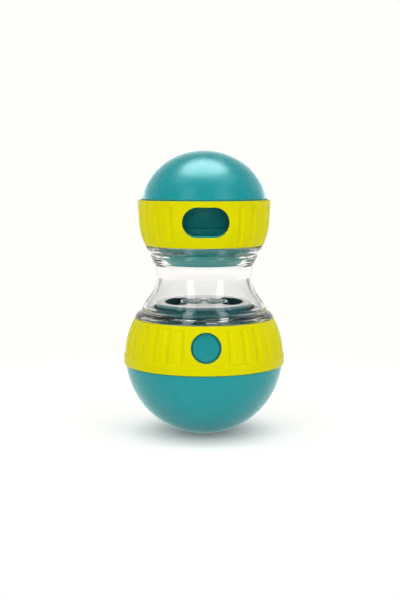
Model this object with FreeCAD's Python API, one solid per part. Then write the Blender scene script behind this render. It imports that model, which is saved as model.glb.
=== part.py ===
import FreeCAD, Part
import math
import os

from FreeCAD import Vector

# A tumbling treat dispenser. The axis is Z and the front, with window and round hole, faces -Y.
# All heights (_Z) are measured from the centre of the base ball, and the finished pieces are
# lifted so that the foot stands on z = 0. Lengths are in millimetres, angles in degrees.

# Fits
RUN = 0.3            # running clearance between pieces that turn on each other
SEAT = 0.05          # gap of a soft seal to each of its two seats
SEAM = 0.25          # shadow line between a turning ring and the shell beside it
SLIP = 0.15          # assembly clearance of a fixed fit
ROOT = 0.2           # how deep a ridge or rib is sunk in the wall that carries it
TOUCH = 0.02         # how near a rim has to be to count as the one that is named
RISE_DIGITS = 12     # decimals kept of how far a ball has risen, so that its very top is in reach

# Base ball
BASE_R = 40.0
BASE_WALL = 2.2
FOOT_R = 6.0
BASE_RIM_Z = -4.0
SKIRT_H = 4.0        # how far the cup reaches down inside the base's rim

# Lower ring, which turns round the lower cup
LOWER_RING_PROUD = 0.3
LOWER_RING_WALL = 1.6
LOWER_RING_TOP_Z = 19.5
LOWER_LIP_WALL = 1.4
BAND_H = 4.9
BAND_PROUD = 0.55
BAND_ROUND = 0.5
RIM_ROUND = 0.35

# Round outlet
OUTLET_R = 7.35
OUTLET_Z = 9.4
PAD_R = 6.7
PAD_GROOVE = 0.8
PAD_GROOVE_W = 1.1

# Grip flutes. An angle is counted from the front.
FLUTE_DEPTH = 0.475
LOWER_FLUTE_W = 3.3
LOWER_FLUTE_FIRST = 18.75
LOWER_FLUTE_PITCHES = 15
LOWER_FLUTE_DROP = 1.4
LOWER_FLUTE_LIFT = 0.2
UPPER_FLUTE_W = 3.05
UPPER_FLUTE_FIRST = 31.75
UPPER_FLUTE_PITCHES = 11
UPPER_FLUTE_LIFT = 1.2
UPPER_FLUTE_DROP = 2.4

# Lower cup
LOWER_CUP_WALL = 1.8
LOWER_FLOOR_Z = -1.0
LOWER_FLOOR_T = 1.8
LOWER_FLOOR_RISE = 2.5
LOWER_FLOOR_CONE_GAP = 5.0
LOWER_MOUTH_GAP = 0.3
LOWER_RIM_H = 3.2

# What holds a ring on its cup, and stops it after a quarter turn
LIP_T = 1.0
LIP_HOLD = 1.0
SNAP = 0.4
RING_TURN = 90.0
LUG_HALF_ANGLE = 3.0
LUG_GAP_ANGLE = 1.0
LOWER_LUG_AT = 120.0
UPPER_LUG_AT = 150.0
LUG_W = 1.9

# Threads, two-start and right-handed
LEAD = 6.0
STARTS = 2
THREAD_RISE = 2.6
RIDGE_H = 1.2
RIDGE_ROOT_W = 1.3
RIDGE_TIP_W = 0.7

# Threaded collar and slotted plate
DECK_T = 1.0
COLLAR_GAP = 0.2
COLLAR_WALL = 1.8
COLLAR_H = 5.1
STEM_GAP = 3.3
STEM_WALL = 1.6
STEM_H = 6.1
CENTRING_H = 1.8
PLATE_T = 1.3
PLATE_SPIGOT_WALL = 1.5
PLATE_SPIGOT_H = 2.4
SLOT_W = 8.0
SLOT_MARGIN = 4.3
SLOT_HALF_ANGLE = 38.0
RIB_COUNT = 30
RIB_IN_R = 2.4
RIB_END_GAP = 1.0
RIB_W = 0.45
RIB_H = 0.3

# Seals
SEAL_T = 0.6
LOWER_SEAL_IN_GAP = 1.9
LOWER_SEAL_OUT_GAP = 0.6
UPPER_SEAL_GAP = 1.8
UPPER_SEAL_W = 1.4

# Clear chamber
CHAMBER_WALL = 2.3
CHAMBER_FOOT_PROUD = 0.3
CHAMBER_FOOT_H = 2.2
FOOT_GROOVE_H = 3.6
SHOULDER_PROUD = 0.44
SHOULDER_H = 4.4
SLOPE_TOP_STEP = 0.4
SLOPE_TOP_H = 6.2
SLOPE_END_STEP = 4.7
SLOPE_END_H = 12.1
WAIST_R = 24.1
WAIST_H = 20.2
WAIST_BOW_PROUD = 1.0
WAIST_BOW_DROP = 4.7
NECK_PROUD = 0.7
NECK_DROP = 9.5
NECK_BOW_PROUD = 0.17
NECK_BOW_DROP = 12.5
BEAD_START_PROUD = 1.5
BEAD_START_DROP = 8.4
COLLAR_BEAD_T = 2.0
COLLAR_BEAD_DROP = 5.1
HEAD_GROOVE_T = 1.4
HEAD_GROOVE_DROP = 4.1
HEAD_T = 4.6
HEAD_EDGE_STEP = 0.9
HEAD_EDGE_DROP = 1.9

# Upper ball
UPPER_Z = 70.5
DOME_R = 34.0
DOME_WALL = 2.0
DOME_RIM_H = 9.15
DOME_RIM_T = 1.65

# Upper ring, which turns round the upper cup
UPPER_RING_STEP = 1.0
UPPER_RING_FLARE = 0.45
UPPER_RING_WALL = 1.6
UPPER_RING_DROP = 14.1
UPPER_LOW_WALL = 1.2
WINDOW_W = 22.7
WINDOW_H = 14.6
WINDOW_DROP = 1.55

# Upper cup
UPPER_CUP_WALL = 1.7
UPPER_FLOOR_T = 1.8
SILL = 0.85
PORT_MARGIN = 0.3
PORT_H = 13.9
THROAT_GAP = 1.5
THROAT_WALL = 2.0
THROAT_DROP = 3.7
THROAT_LIP = 0.9
SPIGOT_GAP = 9.4
SPIGOT_WALL = 1.8
SPIGOT_H = 5.4
FLANGE_T = 1.2

# Snap tabs of the dome
TAB_COUNT = 4
TAB_FIRST = 45.0
TAB_W = 7.0
TAB_WALL = 1.5
DOME_SKIRT_H = 2.4
TAB_H = 6.2
TAB_HOOK = 0.45
TAB_HOOK_H = 1.0
TAB_HOOK_LIFT = 0.7

# Counterweight, its cover and the boss that holds them
WEIGHT_GAP = 1.4
WEIGHT_H = 17.15
WEIGHT_BOSS_R = 4.0
COVER_T = 1.6
COVER_HUB_R = 7.0
COVER_HUB_H = 1.0
COVER_RIBS = 6
COVER_RIB_W = 1.4

# Screws
SCREW_R = 1.4
SCREW_BITE = 0.05
SCREW_HEAD_R = 2.6
SCREW_HEAD_H = 1.9
SCREW_LENGTH = 12.0
SCREW_DRIVE_W = 0.7
SCREW_DRIVE_DEPTH = 0.9
SCREW_COUNT = 4
SCREW_FIRST = 45.0
TOWER_R = 3.4
TOWER_INSET = 6.7
TOWER_RIB_W = 1.4
COLLAR_SCREW_R = 1.1
COLLAR_SCREW_HEAD_R = 2.0
COLLAR_SCREW_HEAD_H = 0.9
COLLAR_SCREW_LENGTH = 6.5
COLLAR_BOSS_R = 2.4
COLLAR_BOSS_H = 5.0

FRONT = -90.0
OUTLET_AT = 0.0
AXIS = Vector(0, 0, 1)
CENTRE = Vector(0, 0, 0)


def wall_radius(ball, height, centre=0.0):
    """Radius of a ball's wall at a height."""
    return math.sqrt(ball**2 - (height - centre) ** 2)


def wall_height(ball, radius, centre=0.0):
    """Height of a ball's lower wall at a radius."""
    return centre - math.sqrt(ball**2 - radius**2)


# Sizes that follow from those above: the base ball
FOOT_Z = wall_height(BASE_R, FOOT_R)
BASE_IN_R = BASE_R - BASE_WALL
SKIRT_R = BASE_IN_R - RUN
SKIRT_IN_R = SKIRT_R - LOWER_CUP_WALL
TOWER_AT = SKIRT_IN_R - TOWER_INSET
WEIGHT_R = TOWER_AT - TOWER_R - WEIGHT_GAP
WEIGHT_TOP_Z = WEIGHT_H - (BASE_IN_R - SLIP)
COVER_TOP_Z = WEIGHT_TOP_Z + COVER_T + COVER_HUB_H

# The lower ring and cup
LOWER_RING_R = BASE_R + LOWER_RING_PROUD
LOWER_RING_LOW_Z = BASE_RIM_Z + SEAM
LOWER_RING_IN_R = LOWER_RING_R - LOWER_RING_WALL
LOWER_CUP_R = LOWER_RING_IN_R - RUN
LOWER_CUP_IN_R = LOWER_CUP_R - LOWER_CUP_WALL
LOWER_FLOOR_CONE_R = TOWER_AT - LOWER_FLOOR_CONE_GAP
CHAMBER_LOW_Z = LOWER_RING_TOP_Z + RUN
DECK_TOP_Z = CHAMBER_LOW_Z - SEAL_T - 2 * SEAT
DECK_LOW_Z = DECK_TOP_Z - DECK_T
LOWER_LIP_TOP_Z = DECK_LOW_Z - RUN
LOWER_LIP_LOW_Z = LOWER_LIP_TOP_Z - LIP_T
LOWER_SHOULDER_Z = LOWER_LIP_LOW_Z - RUN
LOWER_REBATE_R = wall_radius(LOWER_RING_R, LOWER_RING_TOP_Z) - LOWER_LIP_WALL
DECK_R = LOWER_REBATE_R - RUN
LOWER_LIP_R = DECK_R - LIP_HOLD
LOWER_RIM_R = LOWER_LIP_R - RUN

# The neck between base and chamber
COLLAR_SCREW_AT = LOWER_RIM_R - COLLAR_BOSS_R - SEAT
COLLAR_R = COLLAR_SCREW_AT - COLLAR_SCREW_HEAD_R - COLLAR_GAP
LOWER_MOUTH_R = COLLAR_R + LOWER_MOUTH_GAP
STEM_R = COLLAR_R - STEM_GAP
STEM_TOP_Z = DECK_TOP_Z + STEM_H
SLOT_OUT_R = STEM_R - SLOT_MARGIN
SLOT_IN_R = SLOT_OUT_R - SLOT_W
RIB_OUT_R = SLOT_IN_R - RIB_END_GAP
LOWER_SEAL_IN_R = COLLAR_R + LOWER_SEAL_IN_GAP
LOWER_SEAL_OUT_R = DECK_R - LOWER_SEAL_OUT_GAP

# The upper ring and cup
UPPER_RING_R = DOME_R - UPPER_RING_STEP
UPPER_RING_LOW_Z = UPPER_Z - UPPER_RING_DROP
UPPER_RING_IN_R = UPPER_RING_R - UPPER_RING_WALL
UPPER_CUP_R = UPPER_RING_IN_R - RUN
UPPER_CUP_IN_R = UPPER_CUP_R - UPPER_CUP_WALL
DOME_RIM_Z = UPPER_Z + DOME_RIM_H
UPPER_RING_TOP_Z = DOME_RIM_Z - SEAM
UPPER_CUP_TOP_Z = DOME_RIM_Z - SEAT
WINDOW_Z = UPPER_Z - WINDOW_DROP
UPPER_FLOOR_Z = WINDOW_Z - WINDOW_H / 2 + SILL
PORT_W = WINDOW_W + 2 * PORT_MARGIN
UPPER_FLUTE_LOW_Z = UPPER_RING_LOW_Z + UPPER_FLUTE_LIFT
UPPER_FLUTE_TOP_Z = UPPER_RING_TOP_Z - UPPER_FLUTE_DROP
SKIRT_OUT_R = UPPER_CUP_IN_R - SLIP
HOOK_LOW_Z = DOME_RIM_Z - TAB_H + TAB_HOOK_LIFT

# The neck between chamber and upper ball
SPIGOT_R = UPPER_RING_R - SPIGOT_GAP
THROAT_OUT_R = SPIGOT_R - SPIGOT_WALL - THROAT_GAP
THROAT_R = THROAT_OUT_R - THROAT_WALL
CHAMBER_TOP_Z = UPPER_RING_LOW_Z - RUN
CHAMBER_TOP_BORE_R = SPIGOT_R + RIDGE_H + RUN
SPIGOT_LOW_Z = CHAMBER_TOP_Z - SPIGOT_H
THROAT_LOW_Z = SPIGOT_LOW_Z - THROAT_DROP
UPPER_SEAL_IN_R = SPIGOT_R + UPPER_SEAL_GAP
UPPER_SEAL_OUT_R = UPPER_SEAL_IN_R + UPPER_SEAL_W
FLANGE_LOW_Z = CHAMBER_TOP_Z + SEAL_T + 2 * SEAT
FLANGE_TOP_Z = FLANGE_LOW_Z + FLANGE_T
FLANGE_R = UPPER_SEAL_OUT_R + SLIP
UPPER_LIP_LOW_Z = FLANGE_TOP_Z + RUN
UPPER_LIP_TOP_Z = UPPER_LIP_LOW_Z + LIP_T
UPPER_LIP_R = FLANGE_R - SNAP
UPPER_LOW_IN_R = wall_radius(UPPER_RING_R, UPPER_RING_LOW_Z, UPPER_Z) - UPPER_LOW_WALL

# The clear chamber between the two
CHAMBER_FOOT_R = LOWER_RING_R + CHAMBER_FOOT_PROUD
CHAMBER_LOW_BORE_R = COLLAR_R + RIDGE_H + RUN
FOOT_GROOVE_R = CHAMBER_LOW_BORE_R + CHAMBER_WALL
FOOT_GROOVE_Z = CHAMBER_LOW_Z + FOOT_GROOVE_H
SHOULDER_R = FOOT_GROOVE_R + SHOULDER_PROUD
SHOULDER_Z = CHAMBER_LOW_Z + SHOULDER_H
SLOPE_TOP_R = FOOT_GROOVE_R - SLOPE_TOP_STEP
SLOPE_TOP_Z = CHAMBER_LOW_Z + SLOPE_TOP_H
SLOPE_END_R = FOOT_GROOVE_R - SLOPE_END_STEP
SLOPE_END_Z = CHAMBER_LOW_Z + SLOPE_END_H
WAIST_Z = CHAMBER_LOW_Z + WAIST_H
WAIST_BOW_R = WAIST_R + WAIST_BOW_PROUD
WAIST_BOW_Z = WAIST_Z - WAIST_BOW_DROP
NECK_R = WAIST_R + NECK_PROUD
NECK_Z = CHAMBER_TOP_Z - NECK_DROP
NECK_BOW_R = WAIST_R + NECK_BOW_PROUD
NECK_BOW_Z = CHAMBER_TOP_Z - NECK_BOW_DROP
BEAD_START_R = WAIST_R + BEAD_START_PROUD
BEAD_START_Z = CHAMBER_TOP_Z - BEAD_START_DROP
COLLAR_BEAD_R = CHAMBER_TOP_BORE_R + COLLAR_BEAD_T
COLLAR_BEAD_Z = CHAMBER_TOP_Z - COLLAR_BEAD_DROP
HEAD_GROOVE_R = CHAMBER_TOP_BORE_R + HEAD_GROOVE_T
HEAD_GROOVE_Z = CHAMBER_TOP_Z - HEAD_GROOVE_DROP
HEAD_R = CHAMBER_TOP_BORE_R + HEAD_T
HEAD_EDGE_R = HEAD_R - HEAD_EDGE_STEP
HEAD_EDGE_Z = CHAMBER_TOP_Z - HEAD_EDGE_DROP


def point(radius, height):
    """A point of a half section."""
    return Vector(radius, 0, height)


def tilt(rise, ball):
    """How far round from its middle a ball's wall has risen so much. Rounding keeps its very top in reach."""
    return math.asin(round(rise / ball, RISE_DIGITS))


class Outline:
    """A half section, drawn in radius and height and turned about the axis."""

    def __init__(self, radius, height):
        self.start = point(radius, height)
        self.here = self.start
        self.edges = []

    def line(self, radius, height):
        """A straight stretch to a point."""
        end = point(radius, height)
        self.edges.append(Part.LineSegment(self.here, end).toShape())
        self.here = end
        return self

    def ball(self, ball, height, centre=0.0):
        """A stretch along a ball's wall, up or down to a height."""
        low = tilt(self.here.z - centre, ball)
        high = tilt(height - centre, ball)
        middle = (low + high) / 2
        through = point(ball * math.cos(middle), centre + ball * math.sin(middle))
        end = point(ball * math.cos(high), height)
        self.edges.append(Part.Arc(self.here, through, end).toShape())
        self.here = end
        return self

    def bow(self, through, end):
        """A round stretch through one point to another, each a radius and a height."""
        self.edges.append(Part.Arc(self.here, point(*through), point(*end)).toShape())
        self.here = point(*end)
        return self

    def turned(self):
        """The closed section, turned all round."""
        if not self.here.isEqual(self.start, TOUCH):
            self.edges.append(Part.LineSegment(self.here, self.start).toShape())
        return Part.Face(Part.Wire(self.edges)).revolve(CENTRE, AXIS, 360)


def tube(inner, outer, low, high):
    """A plain tube between two heights."""
    outline = Outline(inner, low).line(outer, low).line(outer, high).line(inner, high)
    return outline.turned()


def rod(radius, low, high, x=0.0, y=0.0):
    """An upright rod."""
    return Part.makeCylinder(radius, high - low, Vector(x, y, low), AXIS)


def at(shape, angle):
    """A copy of a shape, turned about the axis."""
    copy = shape.copy()
    copy.rotate(CENTRE, AXIS, angle)
    return copy


def around(shape, count, first=0.0):
    """Copies of a shape, evenly spaced round the axis."""
    return [at(shape, first + index * 360 / count) for index in range(count)]


def soften(solid, radius, *rims):
    """Rounds the circular rims that lie at each radius and height."""
    chosen = []
    for edge in solid.Edges:
        if edge.Degenerated or not isinstance(edge.Curve, Part.Circle):
            continue
        curve = edge.Curve
        for rim_radius, rim_height in rims:
            near = abs(curve.Radius - rim_radius) + abs(curve.Center.z - rim_height)
            if near < TOUCH:
                chosen.append(edge)
    return solid.makeFillet(radius, chosen)


def sector(inner, outer, low, high, first, sweep):
    """A piece of a ring between two heights, from one angle through a sweep."""
    outline = [point(inner, low), point(outer, low), point(outer, high), point(inner, high)]
    face = Part.Face(Part.makePolygon(outline + outline[:1]))
    return at(face.revolve(CENTRE, AXIS, sweep), first)


def side_hole(radius, height, angle, reach):
    """A cutter for a round hole through a wall, from the axis outwards."""
    cutter = Part.makeCylinder(radius, reach, Vector(0, 0, height), Vector(1, 0, 0))
    return at(cutter, angle)


def stadium_hole(width, height, centre_z, reach):
    """A cutter for a slot with round ends, through the front wall."""
    half = height / 2
    side = (width - height) / 2
    low = centre_z - half
    top = centre_z + half
    left = Part.Arc(Vector(-side, 0, low), Vector(-side - half, 0, centre_z), Vector(-side, 0, top))
    right = Part.Arc(Vector(side, 0, top), Vector(side + half, 0, centre_z), Vector(side, 0, low))
    upper = Part.LineSegment(Vector(-side, 0, top), Vector(side, 0, top))
    lower = Part.LineSegment(Vector(side, 0, low), Vector(-side, 0, low))
    wire = Part.Wire([left.toShape(), upper.toShape(), right.toShape(), lower.toShape()])
    return Part.Face(wire).extrude(Vector(0, -reach, 0))


def groove_radius(width):
    """Radius of the round cutter whose groove has this width and the flutes' depth."""
    return (width**2 / 4 + FLUTE_DEPTH**2) / (2 * FLUTE_DEPTH)


def bent_rod(radius, path_radius, centre, low_angle, high_angle):
    """A round rod that follows a ball's wall upwards, in the plane of X and Z."""
    middle = Vector(0, 0, centre)
    disc = Part.Face(Part.Wire(Part.makeCircle(radius, Vector(path_radius, 0, centre), AXIS)))
    disc.rotate(middle, Vector(0, -1, 0), low_angle)
    return disc.revolve(middle, Vector(0, -1, 0), high_angle - low_angle)


def on_path(path_radius, centre, angle):
    """The point of a ball's meridian at an angle above its middle."""
    turn = math.radians(angle)
    return Vector(path_radius * math.cos(turn), 0, centre + path_radius * math.sin(turn))


def flute_angles(first, pitches):
    """Where the flutes lie, on both sides of the smooth front panel."""
    pitch = (180 - first) / pitches
    side = [first + index * pitch for index in range(pitches)]
    return [FRONT + 180] + [FRONT + angle for angle in side] + [FRONT - angle for angle in side]


def lower_flutes():
    """Cutters for the grip flutes of the lower ring. They end bluntly on the band."""
    radius = groove_radius(LOWER_FLUTE_W)
    path = LOWER_RING_R - FLUTE_DEPTH + radius
    band_top = LOWER_RING_LOW_Z + BAND_H + LOWER_FLUTE_LIFT
    low = math.degrees(math.asin(band_top / LOWER_RING_R))
    run_out = math.degrees(math.asin(LOWER_FLUTE_W / 2 / LOWER_RING_R))
    high = math.degrees(math.asin((LOWER_RING_TOP_Z - LOWER_FLUTE_DROP) / LOWER_RING_R)) - run_out
    end = Part.makeSphere(radius, on_path(path, 0.0, high))
    cutter = bent_rod(radius, path, 0.0, low, high).fuse(end)
    return [at(cutter, angle) for angle in flute_angles(LOWER_FLUTE_FIRST, LOWER_FLUTE_PITCHES)]


def upper_flutes():
    """Cutters for the grip flutes of the upper ring: round below, straight up the flare."""
    radius = groove_radius(UPPER_FLUTE_W)
    path = UPPER_RING_R - FLUTE_DEPTH + radius
    run_out = math.degrees(math.asin(UPPER_FLUTE_W / 2 / UPPER_RING_R))
    low = math.degrees(math.asin((UPPER_FLUTE_LOW_Z - UPPER_Z) / UPPER_RING_R)) + run_out
    flare = Vector(UPPER_RING_FLARE, 0, UPPER_RING_TOP_Z - UPPER_Z).normalize()
    length = UPPER_FLUTE_TOP_Z - UPPER_FLUTE_W / 2 - UPPER_Z
    turn = Vector(path, 0, UPPER_Z)
    pieces = [
        Part.makeSphere(radius, on_path(path, UPPER_Z, low)),
        Part.makeSphere(radius, turn),
        Part.makeCylinder(radius, length, turn, flare),
        Part.makeSphere(radius, turn + flare * length),
    ]
    cutter = bent_rod(radius, path, UPPER_Z, low, 0.0).fuse(pieces)
    return [at(cutter, angle) for angle in flute_angles(UPPER_FLUTE_FIRST, UPPER_FLUTE_PITCHES)]


def thread_ridges(root, crest, start, phase):
    """The helical ridges of a thread. The crest is outside the root on a spigot, inside in a bore."""
    sunk = root - math.copysign(ROOT, crest - root)
    corners = [
        point(sunk, -RIDGE_ROOT_W / 2),
        point(crest, -RIDGE_TIP_W / 2),
        point(crest, RIDGE_TIP_W / 2),
        point(sunk, RIDGE_ROOT_W / 2),
    ]
    section = Part.makePolygon(corners + corners[:1])
    helix = Part.makeHelix(LEAD, THREAD_RISE, root)
    ridge = Part.Wire(helix.Edges).makePipeShell([section], True, True)
    ridge.translate(Vector(0, 0, start))
    return around(ridge, STARTS, phase)


def spigot_thread(root, start):
    """The ridges outside a neck."""
    return thread_ridges(root, root + RIDGE_H, start, 0.0)


def bore_thread(bore, start):
    """The ridges inside a mouth, half a pitch above the neck's."""
    half_pitch = 180 / STARTS
    return thread_ridges(bore, bore - RIDGE_H, start, half_pitch)


def screw_points(radius):
    """Where the four screws of a circle stand."""
    turns = [math.radians(SCREW_FIRST + index * 360 / SCREW_COUNT) for index in range(SCREW_COUNT)]
    return [(radius * math.cos(turn), radius * math.sin(turn)) for turn in turns]


def cross_recess(x, y, top):
    """The cutter for a screw head's cross."""
    length = SCREW_HEAD_R
    corner = Vector(x - length / 2, y - SCREW_DRIVE_W / 2, top - SCREW_DRIVE_DEPTH)
    bar = Part.makeBox(length, SCREW_DRIVE_W, 2 * SCREW_DRIVE_DEPTH, corner)
    other = bar.copy()
    other.rotate(Vector(x, y, top), AXIS, 90)
    return bar.fuse(other)


def pan_screw(x, y, seat):
    """A round-headed screw whose head rests at a height."""
    head = rod(SCREW_HEAD_R, seat, seat + SCREW_HEAD_H, x, y)
    shank = rod(SCREW_R, seat - SCREW_LENGTH, seat + ROOT, x, y)
    return head.fuse(shank).cut(cross_recess(x, y, seat + SCREW_HEAD_H))


def flat_screw(x, y, top):
    """A countersunk screw, flush at a height."""
    head = Part.makeCone(COLLAR_SCREW_R, COLLAR_SCREW_HEAD_R, COLLAR_SCREW_HEAD_H)
    head.translate(Vector(x, y, top - COLLAR_SCREW_HEAD_H))
    shank = rod(COLLAR_SCREW_R, top - COLLAR_SCREW_LENGTH, top - COLLAR_SCREW_HEAD_H + ROOT, x, y)
    return head.fuse(shank)


def base_shell():
    """The weighted ball's shell: foot flat, screw towers with ribs, and a boss for the weight."""
    shell = (
        Outline(0, FOOT_Z)
        .line(FOOT_R, FOOT_Z)
        .ball(BASE_R, BASE_RIM_Z)
        .line(wall_radius(BASE_IN_R, BASE_RIM_Z), BASE_RIM_Z)
        .ball(BASE_IN_R, -BASE_IN_R)
        .turned()
    )
    tower_top = LOWER_FLOOR_Z - LOWER_FLOOR_T
    boss_top = WEIGHT_TOP_Z - RUN
    inside = [rod(WEIGHT_BOSS_R, FOOT_Z, boss_top)]
    for x, y in screw_points(TOWER_AT):
        inside.append(rod(TOWER_R, FOOT_Z, tower_top, x, y))
    rib_top = BASE_RIM_Z - SKIRT_H - RUN
    rib_corner = Vector(TOWER_AT, -TOWER_RIB_W / 2, FOOT_Z)
    rib = Part.makeBox(BASE_R - TOWER_AT, TOWER_RIB_W, rib_top - FOOT_Z, rib_corner)
    inside += around(rib, SCREW_COUNT, SCREW_FIRST)
    within = Part.makeSphere(BASE_IN_R + ROOT)
    shell = shell.fuse([piece.common(within) for piece in inside])
    pilot = SCREW_R + SCREW_BITE
    tower_pilot_low = LOWER_FLOOR_Z - SCREW_LENGTH - RUN
    boss_pilot_low = COVER_TOP_Z - SCREW_LENGTH - RUN
    pilots = [rod(pilot, tower_pilot_low, tower_top, x, y) for x, y in screw_points(TOWER_AT)]
    pilots.append(rod(pilot, boss_pilot_low, boss_top))
    return shell.cut(pilots)


def counterweight():
    """The iron weight, whose underside follows the shell."""
    under = BASE_IN_R - SLIP
    hole = WEIGHT_BOSS_R + SLIP
    return (
        Outline(hole, wall_height(under, hole))
        .ball(under, wall_height(under, WEIGHT_R))
        .line(WEIGHT_R, WEIGHT_TOP_Z)
        .line(hole, WEIGHT_TOP_Z)
        .turned()
    )


def weight_cover():
    """The ribbed cover that the centre screw clamps on the weight."""
    low = WEIGHT_TOP_Z
    top = low + COVER_T
    disc = rod(WEIGHT_R, low, top).fuse(rod(COVER_HUB_R, low, COVER_TOP_Z))
    corner = Vector(COVER_HUB_R - ROOT, -COVER_RIB_W / 2, top - ROOT)
    rib = Part.makeBox(WEIGHT_R - COVER_HUB_R, COVER_RIB_W, COVER_HUB_H, corner)
    hole = rod(SCREW_R + SLIP, low, COVER_TOP_Z)
    return disc.fuse(around(rib, COVER_RIBS)).cut(hole)


def weight_screw():
    """The screw in the middle of the cover."""
    return pan_screw(0, 0, COVER_TOP_Z)


def lower_cup():
    """The liner behind the lower ring, with its floor, outlet, closing pad and stop lug."""
    low_z = BASE_RIM_Z - SKIRT_H
    floor_low = LOWER_FLOOR_Z - LOWER_FLOOR_T
    flange_low = DECK_LOW_Z - LOWER_RIM_H
    cup = (
        Outline(0, floor_low + LOWER_FLOOR_RISE)
        .line(LOWER_FLOOR_CONE_R, floor_low)
        .line(wall_radius(SKIRT_IN_R, floor_low), floor_low)
        .ball(SKIRT_IN_R, low_z)
        .line(wall_radius(SKIRT_R, low_z), low_z)
        .ball(SKIRT_R, BASE_RIM_Z)
        .line(wall_radius(LOWER_CUP_R, BASE_RIM_Z), BASE_RIM_Z)
        .ball(LOWER_CUP_R, LOWER_SHOULDER_Z)
        .line(LOWER_RIM_R, LOWER_SHOULDER_Z)
        .line(LOWER_RIM_R, DECK_LOW_Z)
        .line(LOWER_MOUTH_R, DECK_LOW_Z)
        .line(LOWER_MOUTH_R, flange_low)
        .line(wall_radius(LOWER_CUP_IN_R, flange_low), flange_low)
        .ball(LOWER_CUP_IN_R, LOWER_FLOOR_Z)
        .line(LOWER_FLOOR_CONE_R, LOWER_FLOOR_Z)
        .line(0, LOWER_FLOOR_Z + LOWER_FLOOR_RISE)
        .turned()
    )
    boss_low = DECK_LOW_Z - COLLAR_BOSS_H
    mouth = rod(LOWER_MOUTH_R, boss_low, DECK_LOW_Z)
    bosses = [rod(COLLAR_BOSS_R, boss_low, DECK_LOW_Z, x, y) for x, y in screw_points(COLLAR_SCREW_AT)]
    bosses = [boss.cut(mouth) for boss in bosses]
    lug = sector(
        LOWER_RIM_R - ROOT,
        LOWER_RIM_R + LUG_W,
        LOWER_SHOULDER_Z - ROOT,
        LOWER_LIP_TOP_Z - ROOT,
        LOWER_LUG_AT - LUG_HALF_ANGLE,
        2 * LUG_HALF_ANGLE,
    )
    cup = cup.fuse(bosses + [lug])
    outlet = side_hole(OUTLET_R, OUTLET_Z, OUTLET_AT, BASE_R)
    groove = side_hole(PAD_R + PAD_GROOVE_W, OUTLET_Z, FRONT, BASE_R)
    groove = groove.cut(side_hole(PAD_R, OUTLET_Z, FRONT, BASE_R))
    groove = groove.cut(Part.makeSphere(LOWER_CUP_R - PAD_GROOVE))
    holes = [rod(SCREW_R + SLIP, floor_low, LOWER_FLOOR_Z, x, y) for x, y in screw_points(TOWER_AT)]
    pilot = COLLAR_SCREW_R + SCREW_BITE
    pilot_low = DECK_TOP_Z - COLLAR_SCREW_LENGTH - RUN
    pilots = [rod(pilot, pilot_low, DECK_LOW_Z, x, y) for x, y in screw_points(COLLAR_SCREW_AT)]
    return cup.cut([outlet, groove] + holes + pilots)


def base_screws():
    """Four screws from the cup's floor into the base's towers."""
    screws = [pan_screw(x, y, LOWER_FLOOR_Z) for x, y in screw_points(TOWER_AT)]
    return Part.makeCompound(screws)


def lower_ring():
    """The turning ring round the lower cup, with band, flutes, round hole and a lip under the deck."""
    band_r = LOWER_RING_R + BAND_PROUD
    band_top = LOWER_RING_LOW_Z + BAND_H
    top_r = wall_radius(LOWER_RING_R, LOWER_RING_TOP_Z)
    ring = (
        Outline(wall_radius(LOWER_RING_IN_R, LOWER_RING_LOW_Z), LOWER_RING_LOW_Z)
        .line(band_r, LOWER_RING_LOW_Z)
        .line(band_r, band_top)
        .line(wall_radius(LOWER_RING_R, band_top), band_top)
        .ball(LOWER_RING_R, LOWER_RING_TOP_Z)
        .line(LOWER_REBATE_R, LOWER_RING_TOP_Z)
        .line(LOWER_REBATE_R, LOWER_LIP_TOP_Z)
        .line(LOWER_LIP_R, LOWER_LIP_TOP_Z)
        .line(LOWER_LIP_R, LOWER_LIP_LOW_Z)
        .line(wall_radius(LOWER_RING_IN_R, LOWER_LIP_LOW_Z), LOWER_LIP_LOW_Z)
        .ball(LOWER_RING_IN_R, LOWER_RING_LOW_Z)
        .turned()
    )
    ring = soften(ring, BAND_ROUND, (band_r, LOWER_RING_LOW_Z), (band_r, band_top))
    ring = soften(ring, RIM_ROUND, (top_r, LOWER_RING_TOP_Z))
    notch = ring_notch(LOWER_LIP_R, LOWER_RIM_R + LUG_W, LOWER_LIP_LOW_Z, LOWER_LUG_AT)
    hole = side_hole(OUTLET_R, OUTLET_Z, FRONT, 2 * BASE_R)
    return ring.cut(lower_flutes() + [notch, hole])


def ring_notch(lip_r, lug_r, low, lug_at):
    """The cutter for the lip's notch, in which the cup's lug lets the ring make a quarter turn."""
    first = lug_at - LUG_HALF_ANGLE - LUG_GAP_ANGLE - RING_TURN
    sweep = RING_TURN + 2 * (LUG_HALF_ANGLE + LUG_GAP_ANGLE)
    return sector(lip_r - ROOT, lug_r + RUN, low - ROOT, low + LIP_T + ROOT, first, sweep)


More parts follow.
